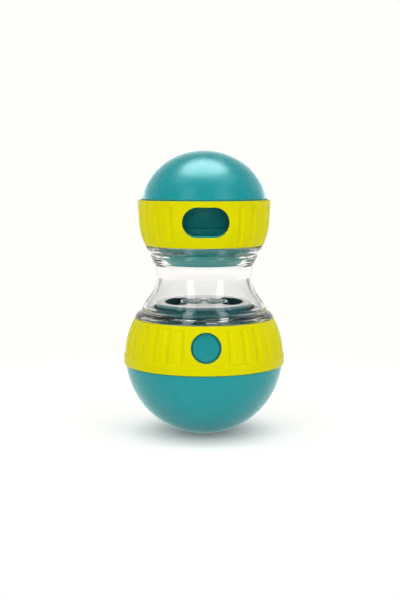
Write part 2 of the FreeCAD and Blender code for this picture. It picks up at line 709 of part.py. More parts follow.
def threaded_collar():
    """The neck of the base: deck, thread wall, and an inner stem that carries the plate."""
    stem_in = STEM_R - STEM_WALL
    wall_in = COLLAR_R - COLLAR_WALL
    centring_r = LOWER_MOUTH_R - SLIP
    collar = (
        Outline(stem_in, DECK_LOW_Z)
        .line(centring_r - COLLAR_WALL, DECK_LOW_Z)
        .line(centring_r - COLLAR_WALL, DECK_LOW_Z - CENTRING_H)
        .line(centring_r, DECK_LOW_Z - CENTRING_H)
        .line(centring_r, DECK_LOW_Z)
        .line(DECK_R, DECK_LOW_Z)
        .line(DECK_R, DECK_TOP_Z)
        .line(COLLAR_R, DECK_TOP_Z)
        .line(COLLAR_R, DECK_TOP_Z + COLLAR_H)
        .line(wall_in, DECK_TOP_Z + COLLAR_H)
        .line(wall_in, DECK_TOP_Z)
        .line(STEM_R, DECK_TOP_Z)
        .line(STEM_R, STEM_TOP_Z)
        .line(stem_in, STEM_TOP_Z)
        .turned()
    )
    start = DECK_TOP_Z + (COLLAR_H - THREAD_RISE) / 2
    collar = collar.fuse(spigot_thread(COLLAR_R, start))
    holes = []
    for x, y in screw_points(COLLAR_SCREW_AT):
        hole = flat_screw(x, y, DECK_TOP_Z)
        hole.scale(1 + SCREW_BITE, Vector(x, y, DECK_TOP_Z))
        holes.append(hole)
    return collar.cut(holes)


def collar_screws():
    """Four flat-headed screws, flush with the deck under the seal."""
    screws = [flat_screw(x, y, DECK_TOP_Z) for x, y in screw_points(COLLAR_SCREW_AT)]
    return Part.makeCompound(screws)


def slotted_plate():
    """The plate on the collar's stem: two kidney slots for treats and a sunburst of fine ribs."""
    top = STEM_TOP_Z + PLATE_T
    spigot_r = STEM_R - STEM_WALL - SLIP
    plate = rod(STEM_R, STEM_TOP_Z, top)
    spigot = tube(spigot_r - PLATE_SPIGOT_WALL, spigot_r, STEM_TOP_Z - PLATE_SPIGOT_H, STEM_TOP_Z + ROOT)
    corner = Vector(RIB_IN_R, -RIB_W / 2, top - ROOT)
    rib = Part.makeBox(RIB_OUT_R - RIB_IN_R, RIB_W, ROOT + RIB_H, corner)
    plate = plate.fuse([spigot] + around(rib, RIB_COUNT, 360 / RIB_COUNT / 2))
    return plate.cut(around(kidney_slot(top), 2))


def kidney_slot(top):
    """The cutter for a curved slot with round ends."""
    middle = (SLOT_IN_R + SLOT_OUT_R) / 2
    half = (SLOT_OUT_R - SLOT_IN_R) / 2
    low = STEM_TOP_Z - ROOT
    high = top + ROOT
    slot = sector(SLOT_IN_R, SLOT_OUT_R, low, high, -SLOT_HALF_ANGLE, 2 * SLOT_HALF_ANGLE)
    end = rod(half, low, high, middle)
    return slot.fuse([at(end, -SLOT_HALF_ANGLE), at(end, SLOT_HALF_ANGLE)])


def lower_seal():
    """The silicone ring between deck and chamber."""
    low = DECK_TOP_Z + SEAT
    return tube(LOWER_SEAL_IN_R, LOWER_SEAL_OUT_R, low, low + SEAL_T)


def clear_chamber():
    """The clear hourglass, with a flange, a bore and an inside thread at each end."""
    foot_top = CHAMBER_LOW_Z + CHAMBER_FOOT_H
    wall = CHAMBER_WALL
    chamber = (
        Outline(CHAMBER_LOW_BORE_R, CHAMBER_LOW_Z)
        .line(wall_radius(CHAMBER_FOOT_R, CHAMBER_LOW_Z), CHAMBER_LOW_Z)
        .ball(CHAMBER_FOOT_R, foot_top)
        .line(FOOT_GROOVE_R, FOOT_GROOVE_Z)
        .line(SHOULDER_R, SHOULDER_Z)
        .line(SLOPE_TOP_R, SLOPE_TOP_Z)
        .line(SLOPE_END_R, SLOPE_END_Z)
        .bow((WAIST_BOW_R, WAIST_BOW_Z), (WAIST_R, WAIST_Z))
        .bow((NECK_BOW_R, NECK_BOW_Z), (NECK_R, NECK_Z))
        .line(BEAD_START_R, BEAD_START_Z)
        .line(COLLAR_BEAD_R, COLLAR_BEAD_Z)
        .line(HEAD_GROOVE_R, HEAD_GROOVE_Z)
        .line(HEAD_EDGE_R, HEAD_EDGE_Z)
        .line(HEAD_R, CHAMBER_TOP_Z)
        .line(CHAMBER_TOP_BORE_R, CHAMBER_TOP_Z)
        .line(CHAMBER_TOP_BORE_R, SPIGOT_LOW_Z - RUN)
        .line(NECK_R - wall, NECK_Z)
        .bow((NECK_BOW_R - wall, NECK_BOW_Z), (WAIST_R - wall, WAIST_Z))
        .bow((WAIST_BOW_R - wall, WAIST_BOW_Z), (SLOPE_END_R - wall, SLOPE_END_Z - wall / 4))
        .line(CHAMBER_LOW_BORE_R, SHOULDER_Z)
        .turned()
    )
    lower = DECK_TOP_Z + (COLLAR_H - THREAD_RISE) / 2
    upper = SPIGOT_LOW_Z + (SPIGOT_H - THREAD_RISE) / 2
    threads = bore_thread(CHAMBER_LOW_BORE_R, lower) + bore_thread(CHAMBER_TOP_BORE_R, upper)
    return chamber.fuse(threads)


def upper_seal():
    """The silicone ring between chamber and upper cup."""
    low = CHAMBER_TOP_Z + SEAT
    return tube(UPPER_SEAL_IN_R, UPPER_SEAL_OUT_R, low, low + SEAL_T)


def upper_cup():
    """The upper liner: threaded spigot, throat tube, floor, side wall with port, and a stop lug."""
    floor_low = UPPER_FLOOR_Z - UPPER_FLOOR_T
    spigot_in = SPIGOT_R - SPIGOT_WALL
    lip_top = UPPER_FLOOR_Z + THROAT_LIP
    hook_low = HOOK_LOW_Z - SLIP
    hook_top = HOOK_LOW_Z + TAB_HOOK_H + SLIP
    groove_r = UPPER_CUP_IN_R + TAB_HOOK
    cup = (
        Outline(THROAT_R, THROAT_LOW_Z)
        .line(THROAT_OUT_R, THROAT_LOW_Z)
        .line(THROAT_OUT_R, floor_low)
        .line(spigot_in, floor_low)
        .line(spigot_in, SPIGOT_LOW_Z)
        .line(SPIGOT_R, SPIGOT_LOW_Z)
        .line(SPIGOT_R, FLANGE_LOW_Z)
        .line(FLANGE_R, FLANGE_LOW_Z)
        .line(FLANGE_R, FLANGE_TOP_Z)
        .line(SPIGOT_R, FLANGE_TOP_Z)
        .line(SPIGOT_R, floor_low)
        .line(wall_radius(UPPER_CUP_R, floor_low, UPPER_Z), floor_low)
        .ball(UPPER_CUP_R, UPPER_Z, UPPER_Z)
        .line(UPPER_CUP_R, UPPER_CUP_TOP_Z)
        .line(UPPER_CUP_IN_R, UPPER_CUP_TOP_Z)
        .line(UPPER_CUP_IN_R, hook_top)
        .line(groove_r, hook_top)
        .line(groove_r, hook_low)
        .line(UPPER_CUP_IN_R, hook_low)
        .line(UPPER_CUP_IN_R, UPPER_Z)
        .ball(UPPER_CUP_IN_R, UPPER_FLOOR_Z, UPPER_Z)
        .line(THROAT_OUT_R, UPPER_FLOOR_Z)
        .line(THROAT_OUT_R, lip_top)
        .line(THROAT_R, lip_top)
        .turned()
    )
    start = SPIGOT_LOW_Z + (SPIGOT_H - THREAD_RISE) / 2
    lug_out = UPPER_LIP_R + LUG_W - 2 * RUN
    lug = sector(
        lug_out - 2 * LUG_W,
        lug_out,
        FLANGE_TOP_Z - ROOT,
        UPPER_LIP_TOP_Z - ROOT,
        UPPER_LUG_AT - LUG_HALF_ANGLE,
        2 * LUG_HALF_ANGLE,
    )
    cup = cup.fuse(spigot_thread(SPIGOT_R, start) + [lug])
    return cup.cut(stadium_hole(PORT_W, PORT_H, UPPER_FLOOR_Z + PORT_H / 2, 2 * DOME_R))


def upper_ring():
    """The turning ring round the upper cup, with window, flutes and a lip that snaps over the flange."""
    top_r = UPPER_RING_R + UPPER_RING_FLARE
    low_r = wall_radius(UPPER_RING_R, UPPER_RING_LOW_Z, UPPER_Z)
    ring = (
        Outline(UPPER_LOW_IN_R, UPPER_RING_LOW_Z)
        .line(low_r, UPPER_RING_LOW_Z)
        .ball(UPPER_RING_R, UPPER_Z, UPPER_Z)
        .line(top_r, UPPER_RING_TOP_Z)
        .line(top_r - UPPER_RING_WALL, UPPER_RING_TOP_Z)
        .line(UPPER_RING_IN_R, UPPER_Z)
        .ball(UPPER_RING_IN_R, UPPER_LIP_TOP_Z, UPPER_Z)
        .line(UPPER_LIP_R, UPPER_LIP_TOP_Z)
        .line(UPPER_LIP_R, UPPER_LIP_LOW_Z)
        .line(UPPER_LOW_IN_R, UPPER_LIP_LOW_Z)
        .turned()
    )
    ring = soften(ring, RIM_ROUND, (low_r, UPPER_RING_LOW_Z), (top_r, UPPER_RING_TOP_Z))
    notch = ring_notch(UPPER_LIP_R, UPPER_LIP_R + LUG_W - 2 * RUN, UPPER_LIP_LOW_Z, UPPER_LUG_AT)
    window = stadium_hole(WINDOW_W, WINDOW_H, WINDOW_Z, 2 * DOME_R)
    return ring.cut(upper_flutes() + [notch, window])


def top_dome():
    """The dome, with a short skirt and four snap tabs inside the upper cup."""
    inner = DOME_R - DOME_WALL
    rim_top = DOME_RIM_Z + DOME_RIM_T
    skirt_in = SKIRT_OUT_R - TAB_WALL
    dome = (
        Outline(skirt_in, DOME_RIM_Z - DOME_SKIRT_H)
        .line(SKIRT_OUT_R, DOME_RIM_Z - DOME_SKIRT_H)
        .line(SKIRT_OUT_R, DOME_RIM_Z)
        .line(wall_radius(DOME_R, DOME_RIM_Z, UPPER_Z), DOME_RIM_Z)
        .ball(DOME_R, UPPER_Z + DOME_R, UPPER_Z)
        .line(0, UPPER_Z + inner)
        .ball(inner, rim_top, UPPER_Z)
        .line(skirt_in, rim_top)
        .turned()
    )
    tongue = tube(skirt_in, SKIRT_OUT_R, DOME_RIM_Z - TAB_H, DOME_RIM_Z - DOME_SKIRT_H + ROOT)
    hook_r = UPPER_CUP_IN_R + TAB_HOOK - SLIP
    hook = tube(SKIRT_OUT_R - ROOT, hook_r, HOOK_LOW_Z, HOOK_LOW_Z + TAB_HOOK_H)
    strip = Part.makeBox(DOME_R, TAB_W, TAB_H, Vector(0, -TAB_W / 2, DOME_RIM_Z - TAB_H))
    tab = tongue.fuse(hook).common(strip)
    dome = dome.fuse(around(tab, TAB_COUNT, TAB_FIRST))
    return soften(dome, RIM_ROUND, (wall_radius(DOME_R, DOME_RIM_Z, UPPER_Z), DOME_RIM_Z))


PIECES = [
    base_shell,
    counterweight,
    weight_cover,
    weight_screw,
    lower_cup,
    base_screws,
    lower_ring,
    threaded_collar,
    collar_screws,
    slotted_plate,
    lower_seal,
    clear_chamber,
    upper_seal,
    upper_cup,
    upper_ring,
    top_dome,
]

os.makedirs("parts", exist_ok=True)
for make in PIECES:
    shape = make()
    shape.translate(Vector(0, 0, -FOOT_Z))
    print(make.__name__, len(shape.Solids), round(shape.Volume / 1000, 2), shape.isValid())
    shape.exportStep(f"parts/{make.__name__}.step")
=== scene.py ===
# %% [markdown]
# # A tumbling treat dispenser
# The toy is an hourglass of turned plastic parts: a weighted teal ball, a clear waisted chamber
# and a small teal ball. A yellow ring turns round each ball and opens or shuts a way out.
# The measured solids of the part come first, as a fixed frame, and each new piece is laid on them.

# %% Load the measured frame
import math
from collections import namedtuple

import bpy
import numpy as np
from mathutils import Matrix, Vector


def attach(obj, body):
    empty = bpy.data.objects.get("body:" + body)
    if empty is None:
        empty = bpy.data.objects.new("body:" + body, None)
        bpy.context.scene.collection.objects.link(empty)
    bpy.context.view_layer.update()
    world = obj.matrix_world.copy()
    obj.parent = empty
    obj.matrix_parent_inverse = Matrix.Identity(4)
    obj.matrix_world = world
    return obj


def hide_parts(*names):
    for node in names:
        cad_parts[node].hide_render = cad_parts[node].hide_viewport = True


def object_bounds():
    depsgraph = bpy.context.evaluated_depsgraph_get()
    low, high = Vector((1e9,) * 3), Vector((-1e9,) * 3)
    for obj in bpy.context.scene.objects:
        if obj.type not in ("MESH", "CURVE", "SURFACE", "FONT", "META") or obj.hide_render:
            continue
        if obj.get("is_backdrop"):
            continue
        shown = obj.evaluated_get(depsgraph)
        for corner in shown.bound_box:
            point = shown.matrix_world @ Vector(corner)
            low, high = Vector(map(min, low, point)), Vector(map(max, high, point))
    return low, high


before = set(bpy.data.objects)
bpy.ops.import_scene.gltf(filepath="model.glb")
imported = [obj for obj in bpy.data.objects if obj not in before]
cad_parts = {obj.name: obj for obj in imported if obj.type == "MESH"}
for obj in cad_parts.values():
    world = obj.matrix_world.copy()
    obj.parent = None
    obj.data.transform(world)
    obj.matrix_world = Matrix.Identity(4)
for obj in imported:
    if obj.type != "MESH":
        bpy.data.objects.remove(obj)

CAD_BOX = [list(corner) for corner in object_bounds()]

# %% [markdown]
# ## Sizes
# Moulded plastic is drawn in millimetres, while this scene is in metres, so every size goes through
# one short helper. Heights are counted from the centre of the lower ball, where the drawing has its
# zero, and the foot flat under the ball lifts that centre above the floor.

# %% Shared sizes
MM = 0.001
DOUBLE = 0.004  # points nearer than this are merged
BASE_R = 40.0
FOOT_R = 6.0
LIFT = math.sqrt(BASE_R**2 - FOOT_R**2)
FRONT = math.radians(-90)
FULL_TURN = 2 * math.pi


def place(radius, height):
    """A point of a section: radius and height in millimetres, as metres in the frame."""
    return Vector((radius * MM, 0, (height + LIFT) * MM))


def wall_radius(ball, height, centre=0.0):
    """How far a ball's wall is from the axis at a height."""
    return math.sqrt(ball**2 - (height - centre) ** 2)


def ball_wall(ball):
    """The wall of a ball round the lower centre, as a function of one height or of many."""

    def wall(height):
        return np.sqrt(ball**2 - height**2)

    return wall


print("ball centre above the floor, mm:", round(LIFT, 3))

# %% [markdown]
# ## Drawing a section
# Nearly every part here is turned, so it starts as half a section. Straight stretches are points,
# and a ball's wall is a run of points on a circle. Sharp corners would look like cut card, so each
# corner that a finger meets gets a small radius before the section is turned.

# %% Points of a section


def ball_run(ball, low, high, rows, centre=0.0):
    """Points along a ball's wall from one height to another, evenly spaced round the ball."""
    first = math.asin((low - centre) / ball)
    last = math.asin((high - centre) / ball)
    angles = [first + (last - first) * step / rows for step in range(rows + 1)]
    return [(ball * math.cos(angle), centre + ball * math.sin(angle)) for angle in angles]


def round_corners(section, rows=4):
    """Replaces each point that has a third number, its corner's radius, by a small arc."""
    smooth = []
    count = len(section)
    for index, point in enumerate(section):
        if len(point) == 2:
            smooth.append(Vector(point))
            continue
        here = Vector(point[:2])
        back = (Vector(section[index - 1][:2]) - here).normalized()
        onward = (Vector(section[(index + 1) % count][:2]) - here).normalized()
        half = back.angle(onward) / 2
        radius = point[2]
        centre = here + (back + onward).normalized() * radius / math.sin(half)
        start = here + back * radius / math.tan(half) - centre
        end = here + onward * radius / math.tan(half) - centre
        turn = start.angle_signed(end)
        for step in range(rows + 1):
            angle = -turn * step / rows
            cos, sin = math.cos(angle), math.sin(angle)
            smooth.append(centre + Vector((cos * start.x - sin * start.y, sin * start.x + cos * start.y)))
    return smooth


print("a corner of 0.4 mm has", len(round_corners([(0, 0), (1, 0, 0.4), (1, 1)])) - 2, "points")

# %% [markdown]
# ## Turning a section
# Blender's Spin does what a lathe does: it copies the drawn wire round the axis and joins the
# copies with faces. The wire itself is drawn with Extrude, one point after another. The last copy
# lies on the first, so the doubles are merged, and the normals are then made to point outwards.

# %% Select, draw and turn


def rest():
    """Leaves edit mode with nothing selected."""
    if bpy.context.mode != "OBJECT":
        bpy.ops.object.mode_set(mode="OBJECT")
    bpy.ops.object.select_all(action="DESELECT")


def choose(piece):
    """Makes one piece the only selected object, in object mode."""
    rest()
    piece.select_set(True)
    bpy.context.view_layer.objects.active = piece


def work_on(piece):
    """Goes into edit mode on one piece, with nothing selected in it."""
    choose(piece)
    bpy.ops.object.mode_set(mode="EDIT")
    bpy.ops.mesh.select_mode(type="VERT")
    bpy.ops.mesh.select_all(action="DESELECT")


def draw_wire(name, points, closed=True):
    """A wire in the X-Z plane, drawn by extruding one point from the next."""
    rest()
    bpy.ops.mesh.primitive_plane_add(size=MM)
    piece = bpy.context.object
    piece.name = name
    piece.data.name = name
    work_on(piece)
    bpy.ops.mesh.select_all(action="SELECT")
    bpy.ops.mesh.merge(type="CENTER")
    stops = [place(*point) for point in points]
    if closed:
        stops.append(stops[0])
    bpy.ops.transform.translate(value=stops[0])
    for here, there in zip(stops, stops[1:]):
        bpy.ops.mesh.extrude_region_move(TRANSFORM_OT_translate={"value": there - here})
    return piece


def close_up(smooth=40):
    """Merges the doubles of the mesh in edit mode, turns its normals out and shades it."""
    bpy.ops.mesh.select_all(action="SELECT")
    bpy.ops.mesh.remove_doubles(threshold=DOUBLE * MM)
    bpy.ops.mesh.normals_make_consistent(inside=False)
    bpy.ops.mesh.select_all(action="DESELECT")
    bpy.ops.object.mode_set(mode="OBJECT")
    bpy.ops.object.shade_smooth_by_angle(angle=math.radians(smooth))


def turned(name, section, steps=288, closed=True):
    """A section with rounded corners, turned all round. One that ends on the axis isn't closed."""
    piece = draw_wire(name, round_corners(section), closed)
    bpy.ops.mesh.select_all(action="SELECT")
    bpy.ops.mesh.spin(steps=steps, angle=FULL_TURN, center=(0, 0, 0), axis=(0, 0, 1))
    close_up()
    return piece


def swing(piece, angle):
    """Turns a finished mesh about the axis and applies the turn."""
    piece.rotation_euler.z = angle
    choose(piece)
    bpy.ops.object.transform_apply(location=False, rotation=True, scale=False)


def tell(piece):
    """Prints what a finished piece measures."""
    size = [round(side / MM, 1) for side in piece.dimensions]
    print(f"{piece.name}: {size} mm, {len(piece.data.polygons)} faces")


# %% [markdown]
# ## Picking by place
# By hand one would box-select with the mouse. In a script the same choice is a test on where each
# point lies: how far round from the front, how high, and how far from the middle of a ball.

# %% Pick the points that pass a test


def places(piece):
    """Every point of a mesh in millimetres: x, y and the height from the lower ball's centre."""
    table = np.empty(len(piece.data.vertices) * 3)
    piece.data.vertices.foreach_get("co", table)
    table = table.reshape(-1, 3) / MM
    table[:, 2] -= LIFT
    return table


def around_front(table):
    """How far each point is turned from the front, in degrees, minus to the left."""
    return np.degrees(np.arctan2(table[:, 0], -table[:, 1]))


def select_points(piece, chosen):
    """Selects the points of a mask and stays in edit mode."""
    choose(piece)
    bpy.context.tool_settings.mesh_select_mode = (True, False, False)
    piece.data.vertices.foreach_set("select", chosen)
    for group in (piece.data.edges, piece.data.polygons):
        group.foreach_set("select", np.zeros(len(group), bool))
    bpy.ops.object.mode_set(mode="EDIT")


def pick(piece, test):
    """Selects the points of a mesh whose places pass a test, and stays in edit mode."""
    rest()
    select_points(piece, test(places(piece)))


def added_since(piece, before):
    """A mask of the points that a mesh got after it had so many."""
    return np.arange(len(piece.data.vertices)) >= before


# %% [markdown]
# ## The grip flutes
# Both rings have shallow grooves down their sides, for fingers, each with a nearly flat floor and
# steep sides. They could be cut with Boolean, but that leaves ragged little faces along each groove.
# Here the lathe work is planned for them instead: the turning steps fall on the middle, the slopes
# and the edges of every groove. The columns of points are then pressed towards the axis with Scale,
# each as deep as the groove is there, and less and less where the groove runs out.

# %% Turn a ring whose steps suit its flutes
FLUTE_DEPTH = 0.8
FLUTE_FLATNESS = 4  # 2 would be a round groove
FLUTE_COLUMNS = 4
SKIN = 0.2  # points this near to a wall are its own


class Flutes:
    """Where the flutes of one ring lie, in degrees from the front, and the turning steps for them."""

    def __init__(self, first, pitches, per_pitch, half_width):
        pitch = (180 - first) / pitches
        self.step = pitch / per_pitch
        self.half_width = half_width
        self.middles = np.array([first + index * pitch for index in range(pitches + 1)])
        self.panel_half = first - (FLUTE_COLUMNS + 1) * self.step


def turned_for_flutes(name, section, flutes, panel_steps):
    """A turned ring with steps on each flute and a clean panel in front."""
    fluted = 360 - 2 * flutes.panel_half
    piece = draw_wire(name, round_corners(section))
    bpy.ops.mesh.select_all(action="SELECT")
    for sweep, steps in ((fluted, round(fluted / flutes.step)), (360 - fluted, panel_steps)):
        bpy.ops.mesh.spin(steps=steps, angle=math.radians(sweep), center=(0, 0, 0), axis=(0, 0, 1))
    close_up()
    swing(piece, FRONT - math.radians(flutes.panel_half))
    return piece


def on_column(table, flutes, wall, column, low, high):
    """The points of one column of every flute, on the outer skin and between two heights."""
    off = np.abs(np.abs(around_front(table))[:, None] - flutes.middles[None, :])
    near = (np.abs(off - column * flutes.step) < flutes.step / 4).any(axis=1)
    height = (table[:, 2] > low) & (table[:, 2] < high)
    out = np.hypot(table[:, 0], table[:, 1]) > wall(table[:, 2]) - SKIN
    return near & height & out


def press_flutes(piece, flutes, wall, rows):
    """Presses the grooves into a wall. Each row is two heights and how far they run out there."""
    for column in range(FLUTE_COLUMNS + 1):
        across = (column * flutes.step / flutes.half_width) ** FLUTE_FLATNESS
        for low, high, beyond in rows:
            share = 1 - across - beyond
            if share <= 0:
                continue
            pick(piece, lambda table: on_column(table, flutes, wall, column, low, high))
            middle = (low + high) / 2
            scale = 1 - FLUTE_DEPTH * share / float(wall(np.array([middle]))[0])
            bpy.ops.transform.resize(value=(scale, scale, 1), center_override=(0, 0, 0))
    rest()


# %% [markdown]
# ## Openings in a curved wall
# The round hole and the window go through a wall that curves both ways. A patch of faces is taken
# out of the outer and the inner skin, a loop with as many points as the patch's edge is laid on the
# wall, and Bridge Edge Loops joins the two. The two loops are then bridged through the wall, and
# the edge that shows gets a bevel, as a moulded edge has.

# %% Cut an opening with a loop
EDGE_BEVEL = 0.3

# A loop is a circle. With a side it is a slot, and side is how far its ends are moved out.
Loop = namedtuple("Loop", "count radius height side cuts", defaults=(0, 0))


def loop_points(piece, loop):
    """Adds the points of a loop in the X-Z plane."""
    rest()
    before = len(piece.data.vertices)
    work_on(piece)
    bpy.ops.mesh.primitive_circle_add(
        vertices=loop.count, radius=loop.radius * MM, location=place(0, loop.height),
        rotation=(math.radians(90), math.pi / loop.count, 0),
    )
    rest()
    if loop.side:
        for way in (-1, 1):
            select_points(piece, added_since(piece, before) & (places(piece)[:, 0] * way > 0))
            bpy.ops.transform.translate(value=(way * loop.side * MM, 0, 0))
        for way in (-1, 1):
            pick(piece, lambda table: straight_ends(table, before, loop, way))
            bpy.ops.mesh.subdivide(number_cuts=loop.cuts)
        rest()
    return added_since(piece, before)


def straight_ends(table, before, loop, way):
    """The two points where a slot's upper or lower straight edge meets its round ends."""
    fresh = np.arange(len(table)) >= before
    level = (table[:, 2] - loop.height) * way
    reach = np.abs(table[:, 0])
    on_edge = fresh & (level > loop.radius * 0.99) & (reach < loop.side + loop.radius / 3)
    chosen = np.zeros(len(table), bool)
    for half in (-1, 1):
        group = np.where(on_edge & (table[:, 0] * half > 0))[0]
        chosen[group[np.argmin(reach[group])]] = True
    return chosen


def lay_on_wall(piece, chosen, wall, top=None):
    """Moves points straight back or forth in Y until they lie on the front of a turned wall."""
    table = places(piece)
    if top:
        table[chosen, 2] = np.minimum(table[chosen, 2], top)
    depth = -np.sqrt(wall(table[:, 2]) ** 2 - np.minimum(np.abs(table[:, 0]), 20) ** 2)
    table[chosen, 1] = depth[chosen]
    table[:, 2] += LIFT
    piece.data.vertices.foreach_set("co", (table * MM).ravel())
    piece.data.update()


def on_wall(table, wall, near=0.05):
    """The points that lie on a turned wall."""
    return np.abs(np.hypot(table[:, 0], table[:, 1]) - wall(table[:, 2])) < near


def patch(table, wall, half_angle, low, high):
    """The points of a patch of one skin in front, and those round its edge."""
    angle = np.abs(around_front(table))
    inside = on_wall(table, wall) & (angle < half_angle + 0.1)
    inside &= (table[:, 2] > low - 0.03) & (table[:, 2] < high + 0.03)
    edge = (angle > half_angle - 0.1) | (table[:, 2] < low + 0.03) | (table[:, 2] > high - 0.03)
    return inside, inside & edge


def on_loop(table, wall, loop):
    """The points of a loop that was laid on a wall."""
    past = np.maximum(np.abs(table[:, 0]) - loop.side, 0)
    away = np.abs(np.hypot(past, table[:, 2] - loop.height) - loop.radius)
    return on_wall(table, wall, 0.01) & (away < loop.radius * 0.002 + 0.004) & (table[:, 1] < 0)


def cut_loop(piece, wall, bounds, loop, top=None):
    """Takes a patch out of one skin and bridges its edge to a loop laid on the wall."""
    inside, _ = patch(places(piece), wall, *bounds)
    select_points(piece, inside)
    bpy.ops.mesh.select_mode(type="FACE")
    bpy.ops.mesh.delete(type="FACE")
    fresh = loop_points(piece, loop)
    lay_on_wall(piece, fresh, wall, top)
    _, edge = patch(places(piece), wall, *bounds)
    edge &= ~fresh
    print("bridging", int(edge.sum()), "points to", int(fresh.sum()))
    select_points(piece, edge | fresh)
    bpy.ops.mesh.bridge_edge_loops()
    rest()
    return fresh


def open_wall(piece, outer, inner, bounds, inner_bounds, loop):
    """Opens both skins of a wall, joins their loops and rounds the outer edge."""
    cut_loop(piece, outer, bounds, loop)
    cut_loop(piece, inner, inner_bounds, loop)
    table = places(piece)
    rim = on_loop(table, outer, loop)
    select_points(piece, rim | on_loop(table, inner, loop))
    bpy.ops.mesh.bridge_edge_loops()
    select_points(piece, rim)
    bpy.ops.mesh.bevel(offset=EDGE_BEVEL * MM, segments=3, affect="EDGES")
    close_up()


# %% [markdown]
# ## The lower ring
# The yellow ring round the base turns by a quarter to bring its round hole over the outlet in the
# liner behind it. It is a thin zone of a ball with a proud band at its lower edge, flutes that end
# bluntly on that band, and a lip inside that hooks under the deck.

# %% The lower grip ring
LOW_R = 40.3
LOW_IN_R = 38.7
LOW_Z = -3.75
LOW_TOP = 19.5
BAND_R = 40.85
BAND_TOP = 1.15
TOP_BORE_R = 33.87
LIP_R = 32.57
LIP_LOW = 17.0
LIP_TOP = 17.8
HOLE_R = 7.35
HOLE_Z = 9.4
LOW_PANEL_STEPS = 30
HOLE_PATCH_STEPS = 12

low_wall = ball_wall(LOW_R)
low_inner = ball_wall(LOW_IN_R)
low_flutes = Flutes(first=18.75, pitches=15, per_pitch=20, half_width=2.42)
flute_from, flute_to = 1.5, 16.45
run_out = [(16.81, 0.059), (17.18, 0.235), (17.54, 0.529), (17.81, 0.826)]
section = [(low_inner(LOW_Z), LOW_Z, 0.3), (BAND_R, LOW_Z, 0.5), (BAND_R, BAND_TOP, 0.45)]
section += [(low_wall(BAND_TOP), BAND_TOP), (low_wall(1.35), 1.35)]
section += ball_run(LOW_R, flute_from, flute_to, 20)
section += [(low_wall(height), height) for height, _ in run_out] + [(low_wall(18.4), 18.4)]
section += [(low_wall(LOW_TOP), LOW_TOP, 0.4), (TOP_BORE_R, LOW_TOP, 0.2), (TOP_BORE_R, LIP_TOP)]
section += [(LIP_R, LIP_TOP, 0.2), (LIP_R, LIP_LOW, 0.2)]
section += ball_run(LOW_IN_R, LIP_LOW, flute_from, 22) + ball_run(LOW_IN_R, -0.3, -2.8, 2)

lower_grip = turned_for_flutes("lower_grip_ring", section, low_flutes, LOW_PANEL_STEPS)
rows = [(flute_from - 0.05, flute_to + 0.1, 0)]
rows += [(height - 0.1, height + 0.1, past) for height, past in run_out]
press_flutes(lower_grip, low_flutes, low_wall, rows)
hole_patch = HOLE_PATCH_STEPS * (2 * low_flutes.panel_half / LOW_PANEL_STEPS)
open_wall(
    lower_grip, low_wall, low_inner,
    (hole_patch, flute_from, run_out[1][0]), (hole_patch, flute_from, LIP_LOW),
    Loop(92, HOLE_R, HOLE_Z),
)
tell(lower_grip)

# %% [markdown]
# ## The upper ring
# The small ring is made the same way. Its wall follows a ball below its middle and then flares a
# little up to the dome, and its opening is a wide slot with round ends.

# %% The upper grip ring
UP_Z = 70.5
UP_R = 33.0
UP_FLARE = 0.45
UP_LOW = 56.4
UP_TOP = 79.15
UP_WALL = 1.6
UP_LIP_R = 26.55
UP_LIP_LOW = 58.3
UP_LIP_TOP = 59.3
WINDOW_Z = 68.95
WINDOW_HALF = 7.3
WINDOW_SIDE = 4.05
PATCH_LOW = 61.0
PATCH_TOP = 76.95
UP_PANEL_STEPS = 40
WINDOW_PATCH_STEPS = 17


def flared_wall(ball):
    """The wall of the upper ring or its inner skin: a ball below, a slight cone above."""

    def wall(height):
        below = np.minimum(height - UP_Z, 0)
        above = np.maximum(height - UP_Z, 0)
        return np.sqrt(ball**2 - below**2) + UP_FLARE * above / (UP_TOP - UP_Z)

    return wall


def up_run(wall, heights):
    """Points along a wall at the given heights."""
    return [(float(wall(height)), float(height)) for height in heights]


up_wall = flared_wall(UP_R)
up_inner = flared_wall(UP_R - UP_WALL)
up_flutes = Flutes(first=31.75, pitches=11, per_pitch=24, half_width=2.65)
low_out = [(57.6, 0.967), (57.88, 0.619), (58.25, 0.275), (58.63, 0.069)]
high_out = [(75.62, 0.069), (76.02, 0.275), (76.42, 0.619), (76.72, 0.967)]
inner_low = up_wall(UP_LOW) - 1.2
section = [(inner_low, UP_LOW, 0.3), (float(up_wall(UP_LOW)), UP_LOW, 0.45)]
section += up_run(up_wall, [57.3] + [height for height, _ in low_out] + [59.0, 59.7, 60.4])
section += up_run(up_wall, np.linspace(PATCH_LOW, 75.22, 18))
section += up_run(up_wall, [height for height, _ in high_out] + [PATCH_TOP, 77.8, 78.5])
section += [(UP_R + UP_FLARE, UP_TOP, 0.4), (UP_R + UP_FLARE - UP_WALL, UP_TOP, 0.2)]
section += up_run(up_inner, np.linspace(PATCH_TOP, PATCH_LOW, 23)) + up_run(up_inner, [60.2, UP_LIP_TOP])
section += [(UP_LIP_R, UP_LIP_TOP, 0.2), (UP_LIP_R, UP_LIP_LOW, 0.2), (inner_low, UP_LIP_LOW)]

upper_grip = turned_for_flutes("upper_grip_ring", section, up_flutes, UP_PANEL_STEPS)
rows = [(58.8, 75.3, 0)] + [(height - 0.12, height + 0.12, past) for height, past in low_out + high_out]
press_flutes(upper_grip, up_flutes, up_wall, rows)
window_patch = WINDOW_PATCH_STEPS * (2 * up_flutes.panel_half / UP_PANEL_STEPS)
window_bounds = (window_patch, PATCH_LOW, PATCH_TOP)
window = Loop(88, WINDOW_HALF, WINDOW_Z, WINDOW_SIDE, 12)
open_wall(upper_grip, up_wall, up_inner, window_bounds, window_bounds, window)
tell(upper_grip)

